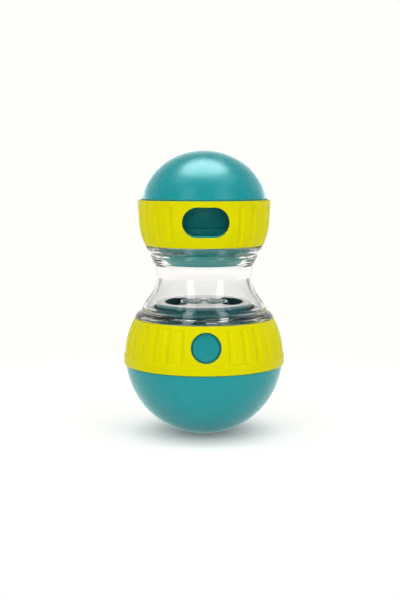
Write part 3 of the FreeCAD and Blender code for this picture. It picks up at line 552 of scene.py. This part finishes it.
# %% [markdown]
# ## The two teal shells
# The base is a thin ball shell with a small flat to stand on, open at its rim. The dome is the same
# kind of shell upside down, with a short skirt that drops into the liner. The rims get a radius,
# because the dark line where a shell meets a ring is what shows that they are separate parts.

# %% The base shell and the dome
BASE_WALL = 2.2
BASE_RIM = -4.0
DOME_R = 34.0
DOME_WALL = 2.0
DOME_RIM = 79.65
DOME_SETTLE = 0.8
SKIRT_R = 29.25
SKIRT_IN_R = 27.75
SKIRT_LOW = 77.25

base_in = BASE_R - BASE_WALL
section = [(0.0, -LIFT), (FOOT_R / 2, -LIFT), (FOOT_R, -LIFT, 0.8)]
section += ball_run(BASE_R, -39.0, -5.0, 60) + [(wall_radius(BASE_R, BASE_RIM), BASE_RIM, 0.35)]
section += [(wall_radius(base_in, BASE_RIM), BASE_RIM, 0.3)] + ball_run(base_in, -5.0, -37.7, 40)
section += [(0.0, -base_in)]
base_ball = turned("base_ball", section, closed=False)
tell(base_ball)

rim_r = wall_radius(DOME_R, DOME_RIM, UP_Z)
dome_in = DOME_R - DOME_WALL
skirt_root = DOME_RIM + 1.65


def settled(run):
    """The dome is a touch flatter than a ball: its points sink the more, the higher they are."""
    span = UP_Z + DOME_R - DOME_RIM
    return [(radius, height - DOME_SETTLE * max(0, height - DOME_RIM) / span) for radius, height in run]


inner = [(0.0, UP_Z + dome_in)] + ball_run(dome_in, UP_Z + dome_in - 0.05, skirt_root, 40, UP_Z)
skirt = [(SKIRT_IN_R, skirt_root), (SKIRT_IN_R, SKIRT_LOW, 0.2)]
skirt += [(SKIRT_R, SKIRT_LOW, 0.2), (SKIRT_R, DOME_RIM)]
outer = ball_run(DOME_R, DOME_RIM + 0.8, UP_Z + DOME_R - 0.02, 70, UP_Z) + [(0.0, UP_Z + DOME_R)]
section = settled(inner) + skirt + [(rim_r, DOME_RIM, 0.4)] + settled(outer)
dome = turned("dome", section, closed=False)
tell(dome)

# %% [markdown]
# ## The clear chamber
# The chamber is one clear moulding with a real wall, so light bends at both of its faces. Its foot
# sits on the ring, its slope runs up to a slim waist, and its head carries a bead and a flange.
# Each mouth has a two-start thread inside, made with the Screw modifier and joined by Boolean.

# %% The hourglass and its threads
THREAD_LEAD = 6.0
THREAD_RISE = 2.6
THREAD_STEPS = 72
RIDGE = 1.2
RIDGE_SUNK = 0.2


def arc_run(first, through, last, rows):
    """Points along the circle through three points, from the first to the last."""
    a, b, c = Vector(first), Vector(through), Vector(last)
    aa, bb, cc = a.length_squared, b.length_squared, c.length_squared
    spread = 2 * (a.x * (b.y - c.y) + b.x * (c.y - a.y) + c.x * (a.y - b.y))
    x = (aa * (b.y - c.y) + bb * (c.y - a.y) + cc * (a.y - b.y)) / spread
    y = (aa * (c.x - b.x) + bb * (a.x - c.x) + cc * (b.x - a.x)) / spread
    start = math.atan2(a.y - y, a.x - x)
    sweep = math.atan2(c.y - y, c.x - x) - start
    sweep = (sweep + math.pi) % FULL_TURN - math.pi
    radius = (a - Vector((x, y))).length
    angles = [start + sweep * step / rows for step in range(rows + 1)]
    return [(x + radius * math.cos(angle), y + radius * math.sin(angle)) for angle in angles]


def thread(root, crest, start, phase):
    """Two helical ridges on a wall. The crest is outside the root on a neck and inside in a mouth."""
    sunk = root - math.copysign(RIDGE_SUNK, crest - root)
    profile = [(sunk, -0.65), (crest, -0.35), (crest, 0.35), (sunk, 0.65)]
    ridges = []
    for turn in (0, 180):
        ridge = draw_wire("ridge", [(radius, height + start) for radius, height in profile])
        bpy.ops.mesh.select_all(action="SELECT")
        bpy.ops.mesh.remove_doubles(threshold=DOUBLE * MM)
        bpy.ops.object.mode_set(mode="OBJECT")
        screw = ridge.modifiers.new("helix", "SCREW")
        screw.angle = FULL_TURN * THREAD_RISE / THREAD_LEAD
        screw.screw_offset = THREAD_RISE * MM
        screw.steps = THREAD_STEPS
        screw.render_steps = THREAD_STEPS
        bpy.ops.object.modifier_apply(modifier="helix")
        work_on(ridge)
        bpy.ops.mesh.select_non_manifold()
        bpy.ops.mesh.fill_holes(sides=8)
        close_up(30)
        swing(ridge, math.radians(turn + phase))
        ridges.append(ridge)
    return ridges


def combine(piece, others, operation="UNION"):
    """Joins other closed meshes to a piece, or cuts them out of it, and removes them."""
    for other in others:
        choose(piece)
        boolean = piece.modifiers.new("join", "BOOLEAN")
        boolean.operation = operation
        boolean.solver = "EXACT"
        boolean.object = other
        bpy.ops.object.modifier_apply(modifier="join")
        bpy.data.objects.remove(other)
    work_on(piece)
    close_up(30)


CHAMBER_R = 40.6
CHAMBER_LOW = 19.8
CHAMBER_TOP = 56.1
MOUTH_R = 29.12
HEAD_BORE_R = 25.1
THREAD_Z = 20.35
HEAD_THREAD_Z = 52.1

section = [(MOUTH_R, CHAMBER_LOW, 0.3), (wall_radius(CHAMBER_R, CHAMBER_LOW), CHAMBER_LOW, 0.3)]
section += [(wall_radius(CHAMBER_R, 20.9), 20.9), (wall_radius(CHAMBER_R, 22.0), 22.0, 0.35)]
section += [(31.42, 23.4, 0.35), (31.86, 24.2, 0.3), (31.02, 26.0, 1.5)]
section += [(26.72, 31.9)] + arc_run((26.72, 31.9), (25.1, 35.3), (24.1, 40.0), 14)[1:]
section += arc_run((24.1, 40.0), (24.27, 43.6), (24.8, 46.6), 10)[1:]
section += [(25.6, 47.7, 0.5), (27.1, 51.0, 0.4), (26.5, 52.0, 0.35), (28.8, 54.2, 0.5)]
section += [(29.7, CHAMBER_TOP, 0.3), (HEAD_BORE_R, CHAMBER_TOP, 0.3)]
section += [(HEAD_BORE_R, 50.4, 0.8), (22.5, 46.6, 1.0)]
section += arc_run((22.5, 46.6), (21.97, 43.6), (21.8, 40.0), 10)[1:]
section += arc_run((21.8, 40.0), (22.8, 35.3), (24.42, 31.33), 14)[1:]
section += [(MOUTH_R, 24.2, 1.2)]
hourglass = turned("hourglass", section)
threads = thread(MOUTH_R, MOUTH_R - RIDGE, THREAD_Z, 90)
threads += thread(HEAD_BORE_R, HEAD_BORE_R - RIDGE, HEAD_THREAD_Z, 90)
combine(hourglass, threads)
tell(hourglass)

# %% [markdown]
# ## The liner of the base
# Behind the lower ring sits a teal liner. It closes the ring's hole by a round pad with a rolled
# edge, and it has its own way out on the right, so a quarter turn of the ring brings the two holes
# together. The way out also cuts the underside of the deck, where there is no clean patch of faces,
# so it is cut with Boolean. The pad is built up from loops: a groove, a step back up and a cap.

# %% The liner and its pad
LINER_R = 38.4
LINER_IN_R = 36.6
SHOULDER = 16.5
DECK_LOW = 18.1
RIM_R = 32.27
RIM_IN_R = 27.92
RIM_UNDER = 14.9
PORT_X = 36
PORT_DEPTH = 12
PAD_R = 6.7
PAD_POINTS = 86
GROOVE_R = 7.8
GROOVE_DEPTH = 0.8
GROOVE_TOP = 16.2


def extrude_loop(piece, chosen, scale, wall, top=None):
    """Extrudes a loop, scales it about the pad's middle and lays it on a wall."""
    select_points(piece, chosen)
    bpy.ops.mesh.extrude_region_move(TRANSFORM_OT_translate={"value": (0, 0, 0)})
    bpy.ops.transform.resize(value=(scale, 1, scale), center_override=place(0, HOLE_Z))
    rest()
    fresh = np.empty(len(piece.data.vertices), bool)
    piece.data.vertices.foreach_get("select", fresh)
    lay_on_wall(piece, fresh, wall, top)
    return fresh


liner_rows = ball_run(LINER_R, -3.6, 16.0, 24)
section = [(0.0, -0.3), (24.0, -2.8, 2.0), (35.59, -2.8)]
section += ball_run(35.7, -2.9, -8.0, 3) + ball_run(37.5, -8.0, -4.0, 3) + [(38.19, -4.0)] + liner_rows
section += [(wall_radius(LINER_R, SHOULDER), SHOULDER, 0.2), (RIM_R, SHOULDER), (RIM_R, DECK_LOW, 0.3)]
section += [(RIM_IN_R, DECK_LOW, 0.3), (RIM_IN_R, RIM_UNDER, 0.3), (33.43, RIM_UNDER)]
section += ball_run(LINER_IN_R, 14.5, -1.0, 20) + [(24.0, -1.0, 2.0), (0.0, 1.5)]
lower_liner = turned("lower_liner", section, closed=False)

rest()
bpy.ops.mesh.primitive_cylinder_add(
    vertices=96, radius=HOLE_R * MM, depth=PORT_DEPTH * MM,
    location=(PORT_X * MM, 0, place(0, HOLE_Z).z), rotation=(0, math.radians(90), 0),
)
combine(lower_liner, [bpy.context.object], "DIFFERENCE")

wall, floor = ball_wall(LINER_R), ball_wall(LINER_R - GROOVE_DEPTH)
pad_bounds = (15.0, liner_rows[5][1], liner_rows[24][1])
rim = cut_loop(lower_liner, wall, pad_bounds, Loop(PAD_POINTS, GROOVE_R, HOLE_Z), GROOVE_TOP)
sunk = extrude_loop(lower_liner, rim, 1, floor, GROOVE_TOP)
foot = loop_points(lower_liner, Loop(PAD_POINTS, PAD_R, HOLE_Z))
lay_on_wall(lower_liner, foot, floor)
sunk = np.append(sunk, np.zeros(len(foot) - len(sunk), bool))
select_points(lower_liner, sunk | foot)
bpy.ops.mesh.bridge_edge_loops()
rest()
rolled = [(PAD_R, 0.55), (6.66, 0.36), (6.56, 0.21), (6.38, 0.1), (6.1, 0.03)]
flat = [(5.7, 0), (4.6, 0), (3, 0), (1.3, 0)]
ring = foot
last = PAD_R
for radius, drop in rolled + flat:
    ring = extrude_loop(lower_liner, ring, radius / last, ball_wall(LINER_R - drop))
    last = radius
select_points(lower_liner, ring)
bpy.ops.mesh.merge(type="CENTER")
close_up(35)
tell(lower_liner)

# %% [markdown]
# ## The screwed collar
# The collar under the clear chamber carries the chamber's thread on its neck. It is a turned part
# with the same two-start ridge as the chamber's mouth, here on the outside.

# %% The collar
DECK_TOP = 19.1
DECK_R = 33.57
SPIGOT_R = 27.77
SPIGOT_IN_R = 25.97
SPIGOT_LOW = 16.3
NECK_R = 27.62
NECK_IN_R = 25.82
NECK_TOP = 24.2
SEAT_R = 24.32
SEAT_IN_R = 22.72
SEAT_TOP = 25.2

section = [(SEAT_IN_R, DECK_LOW, 0.2), (SPIGOT_IN_R, DECK_LOW), (SPIGOT_IN_R, SPIGOT_LOW, 0.2)]
section += [(SPIGOT_R, SPIGOT_LOW, 0.2), (SPIGOT_R, DECK_LOW), (DECK_R, DECK_LOW, 0.2)]
section += [(DECK_R, DECK_TOP, 0.25), (NECK_R, DECK_TOP, 0.3), (NECK_R, NECK_TOP, 0.35)]
section += [(NECK_IN_R, NECK_TOP, 0.35), (NECK_IN_R, DECK_TOP, 0.3), (SEAT_R, DECK_TOP, 0.3)]
section += [(SEAT_R, SEAT_TOP), (SEAT_IN_R, SEAT_TOP)]
collar = turned("screw_collar", section)
combine(collar, thread(NECK_R, NECK_R + RIDGE, THREAD_Z, 0))
tell(collar)

# %% [markdown]
# ## Plastics
# All of it is moulded plastic. Real mouldings aren't one flat colour: the pigment is a touch cloudy,
# the polish varies, and the skin has a very fine grain. Each plastic is a Principled shader with a
# two-tone noise for the pigment, a second noise for the polish and a fine bump for the grain.
# White highlights would make strong colours look milky, so those of teal and yellow are tinted, and
# the two balls have a faint sheen at their edges. The neck is glossier than the balls, and its teal is
# darker, which is painted shade for the shade it lies in under the clear chamber. The upper liner's
# teal is paler, which is painted light on its shaded inside, seen through the window. The plate has a
# thin coat of lacquer.

# %% A moulded plastic
PIGMENT_WAVES = 45
POLISH_WAVES = 160


def new_finish(name):
    """A material with a Principled shader, and its nodes, links and shader."""
    finish = bpy.data.materials.new(name)
    finish.use_nodes = True
    tree = finish.node_tree
    return finish, tree, tree.nodes["Principled BSDF"]


def noise(tree, scale, detail=3.0):
    """A noise on Object coordinates, at so many waves a metre."""
    where = tree.nodes.new("ShaderNodeTexCoord")
    grain = tree.nodes.new("ShaderNodeTexNoise")
    grain.inputs["Scale"].default_value = scale
    grain.inputs["Detail"].default_value = detail
    tree.links.new(where.outputs["Object"], grain.inputs["Vector"])
    return grain.outputs["Fac"]


def remap(tree, value, near, far, first, last, curve="LINEAR"):
    """A value that goes from first to last while the given one goes from near to far."""
    span = tree.nodes.new("ShaderNodeMapRange")
    span.interpolation_type = curve
    for socket, number in (("From Min", near), ("From Max", far), ("To Min", first), ("To Max", last)):
        span.inputs[socket].default_value = number
    tree.links.new(value, span.inputs["Value"])
    return span.outputs["Result"]


def clouded(tree, waves, low, high):
    """A noise whose middle values are mapped to a range."""
    return remap(tree, noise(tree, waves), 0.3, 0.7, low, high)


def roughen(tree, shader, waves, detail, strength, height):
    """A noise as a bump on a shader: its waves and detail, its strength and its height in mm."""
    bump = tree.nodes.new("ShaderNodeBump")
    bump.inputs["Strength"].default_value = strength
    bump.inputs["Distance"].default_value = height * MM
    tree.links.new(noise(tree, waves, detail), bump.inputs["Height"])
    tree.links.new(bump.outputs["Normal"], shader.inputs["Normal"])


def moulded(name, pale, deep, polish, gloss=0.5, grain=3500, height=0.01, tint=(1, 1, 1), sheen=0.0):
    """Moulded plastic: two tones of pigment, a polish from low to high roughness, and a grain."""
    finish, tree, shader = new_finish(name)
    tones = tree.nodes.new("ShaderNodeMix")
    tones.data_type = "RGBA"
    tones.inputs["A"].default_value = (*pale, 1)
    tones.inputs["B"].default_value = (*deep, 1)
    tree.links.new(clouded(tree, PIGMENT_WAVES, 0, 1), tones.inputs["Factor"])
    tree.links.new(tones.outputs["Result"], shader.inputs["Base Color"])
    tree.links.new(clouded(tree, POLISH_WAVES, *polish), shader.inputs["Roughness"])
    shader.inputs["Specular IOR Level"].default_value = gloss
    shader.inputs["Specular Tint"].default_value = (*tint, 1)
    shader.inputs["Sheen Weight"].default_value = sheen
    shader.inputs["Sheen Roughness"].default_value = 0.3
    shader.inputs["Sheen Tint"].default_value = (*tint, 1)
    roughen(tree, shader, grain, 2.0, 0.25, height)
    return finish


SEA = (0.6, 1.0, 1.0)
LEMON = (1.0, 0.96, 0.1)
BALL_TONES = (0.012, 0.335, 0.365), (0.009, 0.31, 0.34)
INNER_TONES = (0.012, 0.30, 0.33), (0.009, 0.28, 0.305)
# painted light: a paler teal for the upper liner, so that its shaded inside reads lighter through the
# window
LIT_CUP_TONES = (0.03, 0.45, 0.44), (0.025, 0.42, 0.41)
# painted shade: a darker teal for the neck, for the shade under the clear chamber
SHADED_NECK_TONES = (0.008, 0.20, 0.235), (0.007, 0.18, 0.215)
YELLOW_TONES = (0.80, 0.755, 0.0015), (0.77, 0.725, 0.001)
SATIN = (0.22, 0.32)
teal = moulded("teal_shell", *BALL_TONES, (0.24, 0.32), 0.45, tint=SEA, sheen=0.8)
teal_inner = moulded("teal_inner", *INNER_TONES, SATIN, 0.45, tint=SEA)
lit_teal_cup = moulded("lit_teal_cup", *LIT_CUP_TONES, SATIN, 0.45, tint=SEA)
shaded_teal_neck = moulded("shaded_teal_neck", *SHADED_NECK_TONES, (0.08, 0.14), 0.9, tint=SEA)
polished = moulded("polished_plate", *INNER_TONES, (0.05, 0.09), 1.0, grain=1800, height=0.004)
lacquer = polished.node_tree.nodes["Principled BSDF"]
lacquer.inputs["Coat Weight"].default_value = 1.0
lacquer.inputs["Coat Roughness"].default_value = 0.03
yellow = moulded("yellow_ring", *YELLOW_TONES, (0.3, 0.42), 0.1, grain=2600, height=0.02, tint=LEMON)
rubber = moulded("seal_rubber", (0.78, 0.80, 0.80), (0.72, 0.75, 0.75), (0.6, 0.75), 0.3)
cover_black = moulded("cover_black", (0.05, 0.05, 0.055), (0.035, 0.035, 0.04), (0.45, 0.6))
print("plastics:", teal.name, yellow.name, teal_inner.name)

# %% [markdown]
# ## Clear plastic, iron and steel
# The chamber is clear polycarbonate: light bends in it by its index of refraction, and a very faint
# unevenness of its faces keeps the highlights from looking drawn. Under a lamp, path tracing finds no
# light behind bent glass, so shadow rays go straight on, each face letting a quarter through. The
# weight is cast iron, rough with a coarse bump, and the screws are zinc-plated steel.

# %% The clear plastic and the metals


def blend(tree, factor, first, second):
    """A Mix Shader from one shader to another."""
    both = tree.nodes.new("ShaderNodeMixShader")
    tree.links.new(factor, both.inputs["Fac"])
    tree.links.new(first, both.inputs[1])
    tree.links.new(second, both.inputs[2])
    return both.outputs["Shader"]


def metal(name, pale, deep, polish, grain, height):
    """A metal with two tones, a polish and a bump of its own scale."""
    finish = moulded(name, pale, deep, polish, grain=grain, height=height)
    finish.node_tree.nodes["Principled BSDF"].inputs["Metallic"].default_value = 1.0
    return finish


clear, tree, shader = new_finish("clear_body")
shader.inputs["Base Color"].default_value = (1.0, 0.994, 0.99, 1)
shader.inputs["Transmission Weight"].default_value = 1.0
shader.inputs["IOR"].default_value = 1.5
tree.links.new(clouded(tree, 90, 0.01, 0.04), shader.inputs["Roughness"])
roughen(tree, shader, 150, 1.0, 0.15, 0.05)
straight = tree.nodes.new("ShaderNodeBsdfTransparent")
straight.inputs["Color"].default_value = (0.25, 0.25, 0.25, 1)
path = tree.nodes.new("ShaderNodeLightPath")
either = blend(tree, path.outputs["Is Shadow Ray"], shader.outputs["BSDF"], straight.outputs["BSDF"])
tree.links.new(either, tree.nodes["Material Output"].inputs["Surface"])

iron = metal("cast_iron", (0.16, 0.16, 0.165), (0.09, 0.09, 0.095), (0.5, 0.75), 900, 0.25)
steel = metal("zinc_steel", (0.62, 0.62, 0.64), (0.5, 0.5, 0.52), (0.25, 0.4), 2500, 0.02)
print("clear plastic and metals:", clear.name, iron.name, steel.name)

# %% [markdown]
# ## Each piece on its body
# The new pieces ride on the bodies of the measured frame, so they turn and rise with its joints, and
# each one hides the solid that it stands for. A new piece has the finish of that solid, and the
# solids that stay get theirs here too.

# %% Finishes, bodies and slots
node_finish = {
    "base_shell": teal, "lower_cup": teal_inner, "threaded_collar": shaded_teal_neck, "slotted_plate": polished,
    "lower_ring": yellow, "upper_ring": yellow, "clear_chamber": clear, "upper_cup": lit_teal_cup,
    "top_dome": teal, "lower_seal": rubber, "upper_seal": rubber, "counterweight": iron,
    "weight_cover": cover_black, "weight_screw": steel, "base_screws": steel, "collar_screws": steel,
}
new_pieces = [
    (base_ball, "base", "base_shell", "teal_shell"),
    (lower_liner, "base", "lower_cup", "teal_inner"),
    (collar, "base", "threaded_collar", "teal_inner"),
    (lower_grip, "lower_shutter", "lower_ring", "yellow_ring"),
    (hourglass, "chamber", "clear_chamber", "clear_body"),
    (dome, "top_ball", "top_dome", "teal_shell"),
    (upper_grip, "upper_shutter", "upper_ring", "yellow_ring"),
]
for name, finish in node_finish.items():
    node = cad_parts[name]
    for slot in node.material_slots:
        slot.material = finish
for piece, body, node, slot in new_pieces:
    piece.data.materials.clear()
    piece.data.materials.append(node_finish[node])
    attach(piece, body)
    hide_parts(node)

# %% [markdown]
# ## A white table
# The toy stands on a white sweep. The floor takes the soft shadow under the ball. For the camera's
# own rays, in reflections and through clear plastic it also glows, more and more away from the
# toy, so that it reads as white without more light on the toy. The glow is weakest right under the
# ball, which is a painted shadow that makes the contact shadow darker.

# %% The white sweep
WARM_WHITE = (1.0, 0.992, 0.962, 1)
PAPER = (0.8, 0.797, 0.785, 1)


def arithmetic(tree, operation, one, other=None):
    """A Math node on one value or two."""
    step = tree.nodes.new("ShaderNodeMath")
    step.operation = operation
    tree.links.new(one, step.inputs[0])
    if other is not None:
        tree.links.new(other, step.inputs[1])
    return step.outputs["Value"]


def seen_directly(tree):
    """1 for the camera's rays, reflections and what is seen through clear plastic, else 0."""
    path = tree.nodes.new("ShaderNodeLightPath")
    total = path.outputs["Is Camera Ray"]
    for name in ("Is Glossy Ray", "Is Transmission Ray"):
        total = arithmetic(tree, "MAXIMUM", total, path.outputs[name])
    return total


def white_glow(tree):
    """An Emission node in the white of the room."""
    glow = tree.nodes.new("ShaderNodeEmission")
    glow.inputs["Color"].default_value = WARM_WHITE
    return glow


rest()
bpy.ops.mesh.primitive_plane_add(size=8)
sweep = bpy.context.object
sweep.name = "white_sweep"
sweep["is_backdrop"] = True
paper, tree, shader = new_finish("white_paper")
tree.nodes.remove(shader)
seen = seen_directly(tree)
where = tree.nodes.new("ShaderNodeTexCoord")
away = tree.nodes.new("ShaderNodeVectorMath")
away.operation = "LENGTH"
tree.links.new(where.outputs["Object"], away.inputs[0])


def seen_by_distance(tree, near, far, first, last):
    """For what is seen directly, a value that changes between two distances from the toy, else 0."""
    share = remap(tree, away.outputs["Value"], near, far, first, last, "SMOOTHSTEP")
    return arithmetic(tree, "MULTIPLY", seen, share)


card = tree.nodes.new("ShaderNodeBsdfDiffuse")
card.inputs["Color"].default_value = PAPER
painted_shadow_glow = white_glow(tree)
# painted shadow: the glow is weak within a few centimetres of the toy, darkening the floor under the ball
tree.links.new(seen_by_distance(tree, 0.01, 0.045, 0.1, 0.47), painted_shadow_glow.inputs["Strength"])
near_card = tree.nodes.new("ShaderNodeAddShader")
tree.links.new(card.outputs["BSDF"], near_card.inputs[0])
tree.links.new(painted_shadow_glow.outputs["Emission"], near_card.inputs[1])
far_share = seen_by_distance(tree, 0.1, 0.35, 0.0, 1.0)
both = blend(tree, far_share, near_card.outputs["Shader"], white_glow(tree).outputs["Emission"])
tree.links.new(both, tree.nodes["Material Output"].inputs["Surface"])
sweep.data.materials.append(paper)
print("sweep:", round(sweep.dimensions.x), "m wide")

# %% [markdown]
# ## A room to reflect
# Smooth plastic shows its form by what it reflects, and an even white room would make it look
# milky. So the room has a dark ceiling, a dimmer front and a dark card at each side. Through clear
# plastic the cards start nearer, which draws its outline. What the camera sees straight on stays
# white, and rays that only carry light between surfaces find one even level.

# %% The room
AMBIENT = 0.3
world = bpy.data.worlds.new("studio")
world.use_nodes = True
bpy.context.scene.world = world
tree = world.node_tree
where = tree.nodes.new("ShaderNodeTexCoord")
parts = tree.nodes.new("ShaderNodeSeparateXYZ")
tree.links.new(where.outputs["Generated"], parts.inputs["Vector"])
ray = tree.nodes.new("ShaderNodeLightPath")

ceiling = remap(tree, parts.outputs["Z"], 0.35, 0.7, 1.0, 0.12)
facing = remap(tree, parts.outputs["Y"], -0.5, 0.1, 0.25, 1.0)
sideways = arithmetic(tree, "ABSOLUTE", parts.outputs["X"])
cards = tree.nodes.new("ShaderNodeMix")
tree.links.new(ray.outputs["Is Transmission Ray"], cards.inputs["Factor"])
tree.links.new(remap(tree, sideways, 0.7, 0.92, 1.0, 0.3), cards.inputs["A"])
tree.links.new(remap(tree, sideways, 0.35, 0.65, 1.0, 0.2), cards.inputs["B"])
surround = arithmetic(tree, "MULTIPLY", ceiling, facing)
surround = arithmetic(tree, "MULTIPLY", surround, cards.outputs["Result"])

level = tree.nodes.new("ShaderNodeMix")
level.inputs["A"].default_value = AMBIENT
tree.links.new(seen_directly(tree), level.inputs["Factor"])
tree.links.new(surround, level.inputs["B"])
strength = arithmetic(tree, "MAXIMUM", ray.outputs["Is Camera Ray"], level.outputs["Result"])
room = tree.nodes["Background"]
room.inputs["Color"].default_value = WARM_WHITE
tree.links.new(strength, room.inputs["Strength"])
print("room: dark ceiling, dimmer front and dark cards at the sides")

# %% [markdown]
# ## Lamps and camera
# A wide lamp above and two tall ones in front, at the left and the right, light the toy. A small one
# by the camera and one at each side fill the shadows without a highlight. An oval lamp above shows
# in reflections alone, as the highlight on the dome, and two low ones behind draw the pale rims of
# the teal balls. They light nothing else, because in clear plastic they would hide its outline.

# %% Lamps
MIDDLE = (0, 0, 0.09)
HEAD = (0, 0, 0.12)
LOW_DOWN = (0, 0, 0.08)


def softbox(name, width, height, watts, azimuth, elevation, distance, target):
    """A rectangular lamp at an angle round the front and above the floor, aimed at a point."""
    lamp = bpy.data.lights.new(name, "AREA")
    lamp.shape = "RECTANGLE"
    lamp.size = width
    lamp.size_y = height
    lamp.energy = watts
    holder = bpy.data.objects.new(name, lamp)
    bpy.context.collection.objects.link(holder)
    around, above = math.radians(azimuth), math.radians(elevation)
    off = Vector((math.sin(around) * math.cos(above), -math.cos(around) * math.cos(above), math.sin(above)))
    holder.location = Vector(target) + off * distance
    holder.rotation_euler = off.to_track_quat("Z", "Y").to_euler()
    return holder


softbox("top_softbox", 1.0, 0.34, 1.5, 0, 84, 0.62, HEAD)
softbox("left_softbox", 0.28, 1.2, 2.1, -35, 22, 0.95, MIDDLE)
softbox("right_softbox", 0.28, 1.2, 2.0, 39, 22, 0.95, MIDDLE)
front = softbox("front_softbox", 0.14, 0.14, 1.7, -1.3, 4, 0.9, MIDDLE)
front.visible_glossy = False
front.visible_transmission = False
glint = softbox("dome_glint", 0.62, 0.44, 6.5, 3, 97, 0.62, HEAD)
glint.data.shape = "ELLIPSE"
glint.visible_diffuse = False
teal_balls = bpy.data.collections.new("teal_balls")
for ball in (base_ball, dome):
    teal_balls.objects.link(ball)
for side in (-1, 1):
    fill = softbox(f"side_softbox_{side + 2}", 0.5, 1.0, 2.2, side * 118, 8, 0.9, MIDDLE)
    fill.visible_glossy = False
    fill.visible_transmission = False
    rim = softbox(f"rim_softbox_{side + 2}", 0.8, 0.4, 3.6, side * 150, 3, 0.95, LOW_DOWN)
    rim.visible_diffuse = False
    rim.light_linking.receiver_collection = teal_balls
print("lamps:", [light.name for light in bpy.data.lights])

# %% Camera
CAMERA_AT = (-0.01445, -0.5452, 0.1325)
LOOKS_DOWN = 6.77
LOOKS_RIGHT = 1.3
lens = bpy.data.cameras.new("photo_camera")
lens.sensor_fit = "VERTICAL"
lens.sensor_height = 36
lens.lens = 64.6
camera = bpy.data.objects.new("photo_camera", lens)
bpy.context.collection.objects.link(camera)
camera.location = CAMERA_AT
camera.rotation_euler = (math.radians(90 - LOOKS_DOWN), 0, math.radians(-LOOKS_RIGHT))
bpy.context.scene.camera = camera
bpy.context.scene.view_settings.view_transform = "Standard"
print("camera at", [round(value, 4) for value in camera.location])

# %% [markdown]
# ## Check and finish
# The new pieces have to stay in the box of the measured frame. The high sides of both boxes are printed
# side by side.

# %% Compare the boxes and finish
low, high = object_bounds()
dressed_box = [list(low), list(high)]
for name, ours, frames in zip("xyz", dressed_box[1], CAD_BOX[1]):
    print(name, "high side in mm:", round(ours / MM, 2), "of", round(frames / MM, 2))
